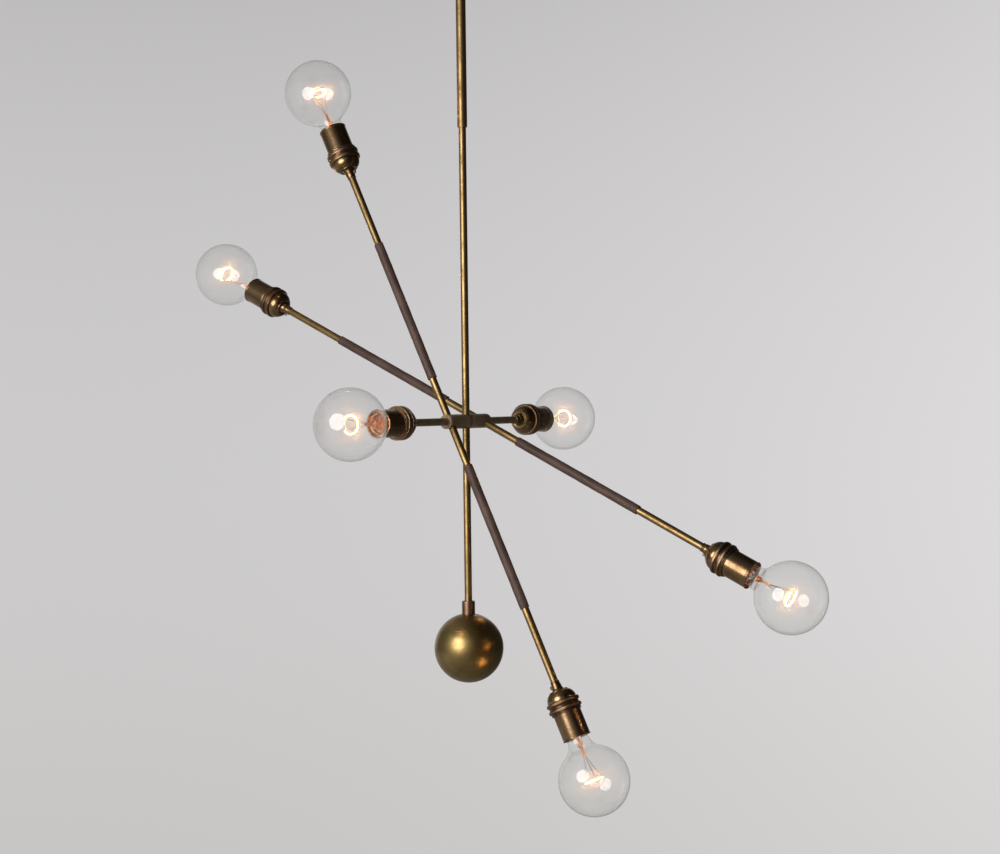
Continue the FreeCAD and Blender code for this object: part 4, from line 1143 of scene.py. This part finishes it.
# ---------------- lampholders
@dataclass
class Lampholders(OneSide):
    """The three lampholders of one side, each drawn along its own axis from the start of its neck."""

    shell_radius: float = 18.7
    ring_radius: float = 22.75
    length: float = 80.0

    def dress(self) -> None:
        """Builds each kind of piece once and puts it on all three arms."""
        self._pieces("holder_caps", [self.cap()], CAP_BRASS)
        self._pieces("neck_screws", [self.screw()], BRONZE)
        self._pieces("shade_rings", [self.ring(27.1), self.ring(35.8)], RING_BRONZE)
        self._pieces("holder_shells", [self.shell()], SHELL_BRASS)
        self._pieces("socket_cores", [self.core()], INSULATOR)
        self._pieces("socket_contacts", [self.screw_shell(), self.contact()], CONTACT_METAL)

    def _pieces(self, kind: str, masters: Sequence[Skin], finish: Finish) -> None:
        """One piece with a copy of each master on every arm of the side."""
        places = [aimed(self.side, port, port.neck) @ self.turn(port) for port in Port]
        seeds = [7.0 * number + 3.1 * self.side.value for number in range(len(places))]
        skins = [master.placed(place, seed) for place, seed in zip(places, seeds) for master in masters]
        self._piece(kind, skins, finish)

    def turn(self, port: Port) -> Matrix:
        """How a lampholder is turned on its pipe, which shows in the way that its neck screw points."""
        if port is Port.END:
            return Matrix.Identity(4)
        return Matrix.Rotation(-QUARTER if (self.side, port) == (Side.REAR, Port.TOP) else QUARTER, 4, "Z")

    def cap(self) -> Skin:
        """A neck that hollows out into a dome, with a rolled skirt over the shell."""
        inside = self.shell_radius + 0.05
        outline = Outline(
            (SNUG, 0.0), (5.7, 0.0), (6.2, 0.4), (6.2, 1.6), (5.8, 2.0), (6.8, 7.0, 40.0, 1, 6),
            (9.0, 13.6, 9.0, -1, 10), (12.2, 13.2, 2), (13.1, 14.3, 1.0, 1, 6), (19.8, 24.5, 15.0, 1, 24),
            (19.8, 27.0), (inside, 27.0), (inside, 23.5), (11.0, 15.6, 13.0, -1, 14), (8.6, 14.8),
            (PIPE_BORE, 14.8), (PIPE_BORE, 11.0), (SNUG, 11.0),
        )
        return turned(outline, 112, 0.18)

    def screw(self) -> Skin:
        """The small screw that clamps the neck: a milled head with a slot, on a short shank."""
        seat, head = 7.55, 1.9
        outline = Outline(
            (0.0, SNUG), (1.5, SNUG), (1.5, seat), (2.4, seat), (2.4, seat + head - 0.3, 2),
            (2.1, seat + head),
            (0.0, seat + head, 12),
        )
        mill = milled_shape(16, 0.16, 2.2)

        def shape(radius: Grid, height: Grid, angle: Grid) -> Shaped:
            """Sinks the slot into the head's face, where |r sin a| is under half its width."""
            in_slot = (np.abs(radius * np.sin(angle)) < 0.36) & (height > seat + head - 0.2)
            return mill(radius, height - 0.6 * in_slot, angle)

        sideways = Matrix.Translation((0, 0, 7.0)) @ Matrix.Rotation(-QUARTER, 4, "Y")
        return turned(outline, 64, 0.12, shape).placed(sideways)

    def ring(self, start: float) -> Skin:
        """A shade ring: a milled ridge with crisp edges, then a lower hub with a fine thread."""
        inside, out, hub = self.shell_radius + 0.05, self.ring_radius, 20.7
        ridge, end = start + 4.9, start + 8.6
        outline = Outline(
            (inside, start), (out - 2.2, start, 2), (out, start + 2.2, 2.2, 1, 8), (out, ridge - 1.1, 2),
            (out - 1.1, ridge, 1.1, 1, 5), (hub, ridge), (hub, end, 12), (inside, end),
        )
        mill = milled_shape(90, 0.2, out - 0.05)
        thread = thread_shape(1.1, 0.3, ridge, end, hub - 0.3)

        def shape(radius: Grid, height: Grid, angle: Grid) -> Shaped:
            """Mills the ridge and cuts the hub's thread."""
            return thread(*mill(radius, height, angle), angle)

        return turned(outline, 270, 0.14, shape)

    def shell(self) -> Skin:
        """The long straight shell with a fine groove and a beaded mouth."""
        r, end = self.shell_radius, self.length
        inside = r - 1.2
        outline = Outline(
            (inside, 23.6), (r, 23.6), (r, end - 3.4, 14), (r - 0.25, end - 3.1), (r - 0.25, end - 2.7),
            (r, end - 2.4), (r, end - 1.7), (19.3, end - 0.8, 0.9, 1, 5), (r, end, 0.85, 1, 5),
            (inside + 0.3, end), (inside, end - 0.3),
        )
        return turned(outline, 128, 0.15)

    def core(self) -> Skin:
        """The insulator: a cup with a floor, and eight shallow flutes in its rim."""
        out, cavity = 17.3, 13.9
        outline = Outline(
            (3.05, 42.0), (out, 42.0), (out, 73.4, 3), (out - 0.6, 74.0), (cavity + 0.6, 74.0, 3),
            (cavity, 73.4), (cavity, 50.0, 3), (3.05, 50.0),
        )

        def shape(radius: Grid, height: Grid, angle: Grid) -> Shaped:
            """Sinks eight flutes into the rim."""
            on_rim = (height > 73) * (radius > cavity) * (radius < out)
            flute = np.clip(np.cos(8 * angle) * 3 - 1.6, 0, 1) * on_rim
            return radius, height - 1.1 * flute

        return turned(outline, 128, 0.2, shape)

    def screw_shell(self) -> Skin:
        """The thin threaded shell that the bulb screws into. The thread never comes inside its bore."""
        start, end = 50.1, 72.6
        outline = Outline((13.52, start), (13.74, start), (13.74, end, 56), (13.52, end), (13.52, start, 56))
        return turned(outline, 72, 0.04, thread_shape(3.63, 0.15, start + 1, end - 1))

    def contact(self) -> Skin:
        """The centre contact: a riveted post with a domed head."""
        outline = Outline((0.0, 42.0), (3.0, 42.0), (3.0, 50.1), (4.0, 50.1), (0.0, 51.2, 8.2, 1, 8))
        return turned(outline, 40, 0.15)


# ---------------- bulbs
@dataclass
class Bulb:
    """One globe bulb, drawn along its own axis from the start of the lampholder's neck."""

    side: Side
    port: Port
    globe: float = 47.5
    centre: float = 139.0
    wall: float = 0.7
    neck: float = 14.5
    neck_curve: float = 20.0
    loop: float = 12.0
    loop_gap: float = math.radians(80)
    coil: float = 0.62
    coil_wire: float = 0.27
    coil_pitch: float = 0.62
    lead_wire: float = 0.42
    support_wire: float = 0.18

    @property
    def name(self) -> str:
        """The start of the names of this bulb's pieces, which is its body's name too."""
        return f"{self.side.label}_{self.port.value}_bulb"

    def dress(self) -> None:
        """Builds the glass, the base and the lit mount."""
        glass = self._piece("glass", [self.glass()], GLASS)
        self._piece("base", [self.base_shell(), self.solder()], BASE_METAL)
        self._piece("collar", [self.black_collar()], BLACK_GLASS, "base")
        self._piece("cement", [self.cement()], CEMENT, "base")
        stem = self._piece("mount", [self.stem()], STEM_GLASS)
        self._piece("leads", [self.leads()], LEADS, "mount")
        self._piece("filament", [self.filament()], COIL, "mount")
        glass.visible_shadow = stem.visible_shadow = False

    def _piece(self, kind: str, skins: Sequence[Skin], finish: Finish, node: str = "") -> bpy.types.Object:
        """One piece of the bulb, which stands for the solid of its own kind or the one that is named."""
        place = aimed(self.side, self.port, self.port.neck)
        seed = 11.0 * list(Port).index(self.port) + 5.0 * self.side.value
        solid = [f"{self.name}_{node or kind}"]
        skins = [skin.placed(place, seed) for skin in skins]
        return add_piece(f"{self.name}_{kind}_dressed", skins, finish, self.name, solid, 40.0)

    def glass(self) -> Skin:
        """The blown envelope: neck, hollow curve and ball outside, and the same a wall's thickness inside."""
        reach = self.globe + self.neck_curve
        out = self.neck + self.neck_curve
        drop = math.sqrt(reach**2 - out**2)
        foot, start = 70.0, self.centre - drop
        share, inner_share = self.globe / reach, (self.globe - self.wall) / reach
        foot_radius = 12.3
        outline = Outline(
            (foot_radius - self.wall, foot), (foot_radius, foot), (foot_radius, start - 2.6, 2),
            (self.neck, start, 4.0, -1, 6),
            (out * share, self.centre - drop * share, self.neck_curve, -1, 16),
            (0.0, self.centre + self.globe, self.globe, 1, 72), (0.0, self.centre + self.globe - self.wall),
            (out * inner_share, self.centre - drop * inner_share, self.globe - self.wall, -1, 72),
            (self.neck - self.wall, start, self.neck_curve + self.wall, 1, 16),
            (foot_radius - self.wall, start - 2.4, 3.4, 1, 6),
        )
        return turned(outline, 128, 0.1)

    def base_shell(self) -> Skin:
        """The screw base: a rolled thread in thin metal, a smooth rim, and a floor above the collar."""
        rim, foot, wall = 79.1, 57.5, 0.45
        outline = Outline(
            (10.6, foot), (12.4, foot + 0.5), (13.0, foot + 1.2), (13.0, 69.5, 34), (13.0, rim - 0.5, 3),
            (12.85, rim), (13.0 - wall, rim), (13.0 - wall, 69.5, 3), (13.0 - wall, foot + 1.6, 34),
            (10.6, foot + 1.0),
        )
        return turned(outline, 96, 0.08, thread_shape(3.63, 0.75, foot + 0.6, 70.0, 11.5))

    def solder(self) -> Skin:
        """The tip contact with its low dome of solder."""
        return turned(Outline((0.0, 51.5), (4.4, 52.2, 14.2, 1, 6), (4.4, 52.7), (0.0, 52.7)), 48, 0.1)

    def black_collar(self) -> Skin:
        """The black glass cone between the tip and the screw base."""
        outline = Outline((0.0, 52.75), (4.3, 52.75), (10.5, 57.45, 16.0, 1, 8), (10.5, 58.4), (0.0, 58.4))
        return turned(outline, 64, 0.15)

    def cement(self) -> Skin:
        """The cement that holds the glass in the base: a cup that is open towards the glass."""
        outline = Outline(
            (0.0, 59.0), (11.3, 59.0), (11.7, 60.0), (11.7, 69.9, 2), (10.9, 69.9), (9.5, 62.0, 30.0, 1, 5),
            (0.0, 61.2),
        )
        return turned(outline, 48, 0.15)

    def stem(self) -> Skin:
        """The glass mount: a flared skirt that narrows to a tube, whose y is scaled by 0.6 at the press."""
        foot = 70.05
        outline = Outline(
            (10.4, foot), (11.3, foot), (5.2, 82.0, 16.0, -1, 10), (4.2, 90.0, 4), (2.8, 94.0, 12.0, 1, 4),
            (2.8, 104.0, 5), (0.0, 107.05, 3.0, 1, 6), (0.0, 88.0), (3.0, 86.0, 3.2, -1, 4),
            (10.4, foot + 1.0, 17.0, 1, 10),
        )
        skin = turned(outline, 48, 0.15)
        squeeze = np.ones_like(skin.points)
        squeeze[:, 1] -= 0.4 * np.clip((skin.points[:, 2] - 88.0) / 6.0, 0, 1)
        flat = skin.points * squeeze
        return replace(skin, points=flat, own=flat * MM)

    def leads(self) -> Skin:
        """Two leads and three supports: each rises in the press, then leans out to the loop as t^1.25."""
        half, press, root = self.loop_gap / 2, 104.0, 1.5
        quarter_run = (TURN - self.loop_gap) / 4
        turns = QUARTER + np.array([-half, half, -half - quarter_run, math.pi, half + quarter_run])
        t = np.linspace(0, 1, 9)
        start = np.array([76.0, 76.0, press, press, press])[:, None]
        lean = np.clip((t * 3 - 1) / 2, 0, 1)
        height = start + (press - start) * np.clip(t * 3, 0, 1)
        height = height + (self.centre - press) * lean
        out = root + (self.loop - root) * lean**1.25
        paths = np.stack([out * np.cos(turns)[:, None], out * np.sin(turns)[:, None], height], -1)
        sideways = np.stack([-np.sin(turns), np.cos(turns), 0 * turns], -1)[:, None]
        leads = drawn_wire(paths[:2], sideways[:2], self.lead_wire, 8)
        supports = drawn_wire(paths[2:, 3:], sideways[2:], self.support_wire, 8)
        return joined([leads, supports])[0]

    def filament(self) -> Skin:
        """A coil bent into an open loop: the loop's point plus c (cos wound, sin wound) across it."""
        run = TURN - self.loop_gap
        turns = self.loop * run / self.coil_pitch
        t = np.linspace(0, 1, int(turns * 7) + 1)
        angle = QUARTER + self.loop_gap / 2 + run * t
        wound = TURN * turns * t
        out = self.loop + self.coil * np.cos(wound)
        rise = self.centre + self.coil * np.sin(wound)
        path = np.stack([out * np.cos(angle), out * np.sin(angle), rise], -1)
        ring = np.stack([np.cos(angle), np.sin(angle), 0 * angle], -1)
        facing = ring * np.cos(wound)[:, None] + np.array([0, 0, 1.0]) * np.sin(wound)[:, None]
        skin = drawn_wire(path[None], facing[None], self.coil_wire, 4)
        ends = np.abs(2 * np.repeat(t, 4) - 1) ** 6
        # Here the per-point value holds how near each point is to the coil's ends, where the glow is cooler
        # and more orange.
        return replace(skin, wear_and_light=np.concatenate([ends, [1.0, 1.0]]))


# ---------------- studio
@dataclass(frozen=True)
class Studio:
    """A seamless pale sheet all round, one soft round lamp to the left of the camera, and the camera."""

    place: tuple[float, float, float] = (-2.1302, -1.4346, -0.6603)
    right: tuple[float, float, float] = (0.54312, -0.83956, -0.01283)
    up: tuple[float, float, float] = (0.01948, -0.00267, 0.99981)
    ahead: tuple[float, float, float] = (0.83944, 0.54326, -0.01491)
    lens: float = 66.58
    sensor: float = 36.0
    floor: float = -2.45
    wall: float = 6.0
    cove: float = 1.6
    top: float = 3.4
    key_distance: float = 1.65
    key_radius: float = 0.64
    key_left: float = math.radians(36.5)
    key_up: float = math.radians(7)
    key_level: float = 5.5
    fill: float = 0.24
    eye_drop: float = 1.1
    pale: float = 0.579
    palest: float = 0.74
    dimmest: float = 0.42

    def build(self) -> None:
        """Sets up the camera, the sheet, the lamp and the world."""
        self.camera()
        self.sheet()
        self.lamp()
        self.world()
        bpy.context.scene.view_settings.view_transform = "Standard"

    def camera(self) -> None:
        """The camera that the photograph was taken with, as worked out from the six globes."""
        data = bpy.data.cameras.new("camera")
        data.sensor_width, data.lens = self.sensor, self.lens
        data.clip_end = 60.0
        camera = linked("camera", data)
        back = np.negative(self.ahead)
        columns = np.stack([self.right, self.up, back], 1)
        camera.matrix_world = Matrix.Translation(self.place) @ Matrix(columns.tolist()).to_4x4()
        bpy.context.scene.camera = camera

    def sheet(self) -> None:
        """The floor, cove and wall as one turned sheet that faces inwards."""
        t = QUARTER * np.linspace(0, 1, 17)
        bend = [self.wall - self.cove * (1 - np.sin(t)), self.floor + self.cove * (1 - np.cos(t))]
        ends = [[0.02, self.floor], [2.0, self.floor]], [[self.wall, self.top]]
        rows = np.concatenate([ends[0], np.stack(bend, 1), ends[1]])
        sides = 96
        angle = np.arange(sides) / sides * TURN
        height = np.broadcast_to(rows[:, 1:], (len(rows), sides))
        grid = np.stack([rows[:, :1] * np.cos(angle), rows[:, :1] * np.sin(angle), height], -1)
        number = np.arange(len(rows) * sides).reshape(len(rows), sides)
        right = np.roll(number, -1, 1)
        faces = np.stack([number[:-1], number[1:], right[1:], right[:-1]], -1).reshape(-1, 4)
        mesh = bpy.data.meshes.new("studio_sheet")
        mesh.from_pydata(grid.reshape(-1, 3).tolist(), [], [*faces.tolist(), number[0].tolist()])
        mesh.polygons.foreach_set("use_smooth", np.ones(len(mesh.polygons), bool))
        mesh.materials.append(self.sheet_paint())
        linked("studio_sheet", mesh)

    def seen(self, sheet: NodeSheet) -> Reading:
        """1 for what the camera sees directly or through glass."""
        return sheet.ray("Camera").at_least(sheet.ray("Transmission"))

    def sheet_paint(self) -> bpy.types.Material:
        """Pale grey to the camera, lighter to the right, dimmer at the top. Gloss sees a dim room in it."""
        sheet = NodeSheet("studio_sheet")
        place = sheet.place(own=False)
        across, ahead = sheet.dot(place, self.right), sheet.dot(place, self.ahead)
        rise = sheet.height(place) + self.eye_drop
        level = across * 0.0241 + across * across * 0.0064 + rise * rise * -0.0175 + self.pale
        level = level.at_most(self.palest).at_least(self.dimmest)
        seen, glossy = self.seen(sheet), sheet.ray("Glossy")
        mirrored = ahead.ramped(3.2, 5.2) * across.ramped(0.8, 2.8, 1.0, 0.05) * level
        near_key = sheet.dot(place, self.key_way())
        room = across.ramped(-5.5, 3.0, 0.16, 0.02) + near_key.ramped(2.6, 6.2, 0.0, 0.3)
        low = rise.ramped(-1.36, -0.4, 1.0, 0.0) * across.ramped(-4.0, 2.5, 0.42, 0.05)
        unseen = glossy * mirrored.at_least(room.at_least(low)) + (1 - glossy) * self.fill
        paint = sheet.surface(
            Base_Color=sheet.mixed(glossy, (0.16, 0.157, 0.158), (0.02, 0.02, 0.02)),
            Roughness=0.9,
            Specular_IOR_Level=0.0,
            Emission_Color=sheet.mixed(rise.ramped(-2.0, 0.6), (1.0, 0.982, 0.965), (1.0, 0.982, 0.992)),
            Emission_Strength=seen * level + (1 - seen) * unseen,
        )
        clear = sheet.add("BsdfTransparent", None, {"Color": (1.0, 1.0, 1.0)})
        behind = sheet.add("NewGeometry", output="Backfacing")
        return sheet.finish(sheet.add("MixShader", None, {0: behind, 1: paint, 2: clear}))

    def key_way(self) -> np.ndarray:
        """The way from the hub to the key lamp: back cos a - right sin a, raised by its height."""
        right, up, back = (np.array(v) for v in (self.right, self.up, np.negative(self.ahead)))
        level = back * math.cos(self.key_left) - right * math.sin(self.key_left)
        return level * math.cos(self.key_up) + up * math.sin(self.key_up)

    def lamp(self) -> None:
        """A soft round lamp, left of the camera and a little above it, at a plain level."""
        way = self.key_way()
        data = bpy.data.lights.new("key_lamp", "AREA")
        data.shape, data.size = "DISK", 2 * self.key_radius
        data.energy = self.key_level * math.pi * math.pi * self.key_radius**2
        data.color = (1.0, 0.965, 0.92)
        lamp = linked("key_lamp", data)
        turn = Matrix(np.stack(self._frame(way), 1).tolist()).to_4x4()
        hub = np.array([0.0, 0.0, -HUB_DROP * MM])
        lamp.matrix_world = Matrix.Translation(hub + way * self.key_distance) @ turn
        lamp.visible_camera = False

    @staticmethod
    def _frame(back: np.ndarray) -> list[np.ndarray]:
        """Three unit vectors with the last along `back`, for a lamp that shines the other way."""
        right = np.cross([0.0, 0.0, 1.0], back)
        right /= np.linalg.norm(right)
        return [right, np.cross(back, right), back]

    def world(self) -> None:
        """Pale to the camera, plain fill to dull surfaces, and to gloss a dim room, darker to the right."""
        world = bpy.data.worlds.new("studio")
        bpy.context.scene.world = world
        world.use_nodes = True
        sheet = NodeSheet("studio", world.node_tree)
        way = sheet.add("TexCoord", output="Generated")
        across = sheet.dot(way, self.right)
        glossy = sheet.ray("Glossy")
        room = across.ramped(-0.9, 0.5, 0.26, 0.012)
        fill = glossy * room + (1 - glossy) * self.fill
        seen = self.seen(sheet)
        level = seen * 0.6 + (1 - seen) * fill
        sheet.finish(sheet.add("Background", None, {"Color": (1.0, 0.99, 0.98), "Strength": level}))


def main() -> None:
    """Builds the studio, then the light from the ceiling down."""
    logging.basicConfig(level=logging.INFO, format="%(message)s")
    Studio().build()
    CeilingFixing().dress()
    StemAndHub().dress()
    for side in Side:
        ArmSet(side).dress()
        Lampholders(side).dress()
        for port in Port:
            Bulb(side, port).dress()


if __name__ == "__main__":
    main()
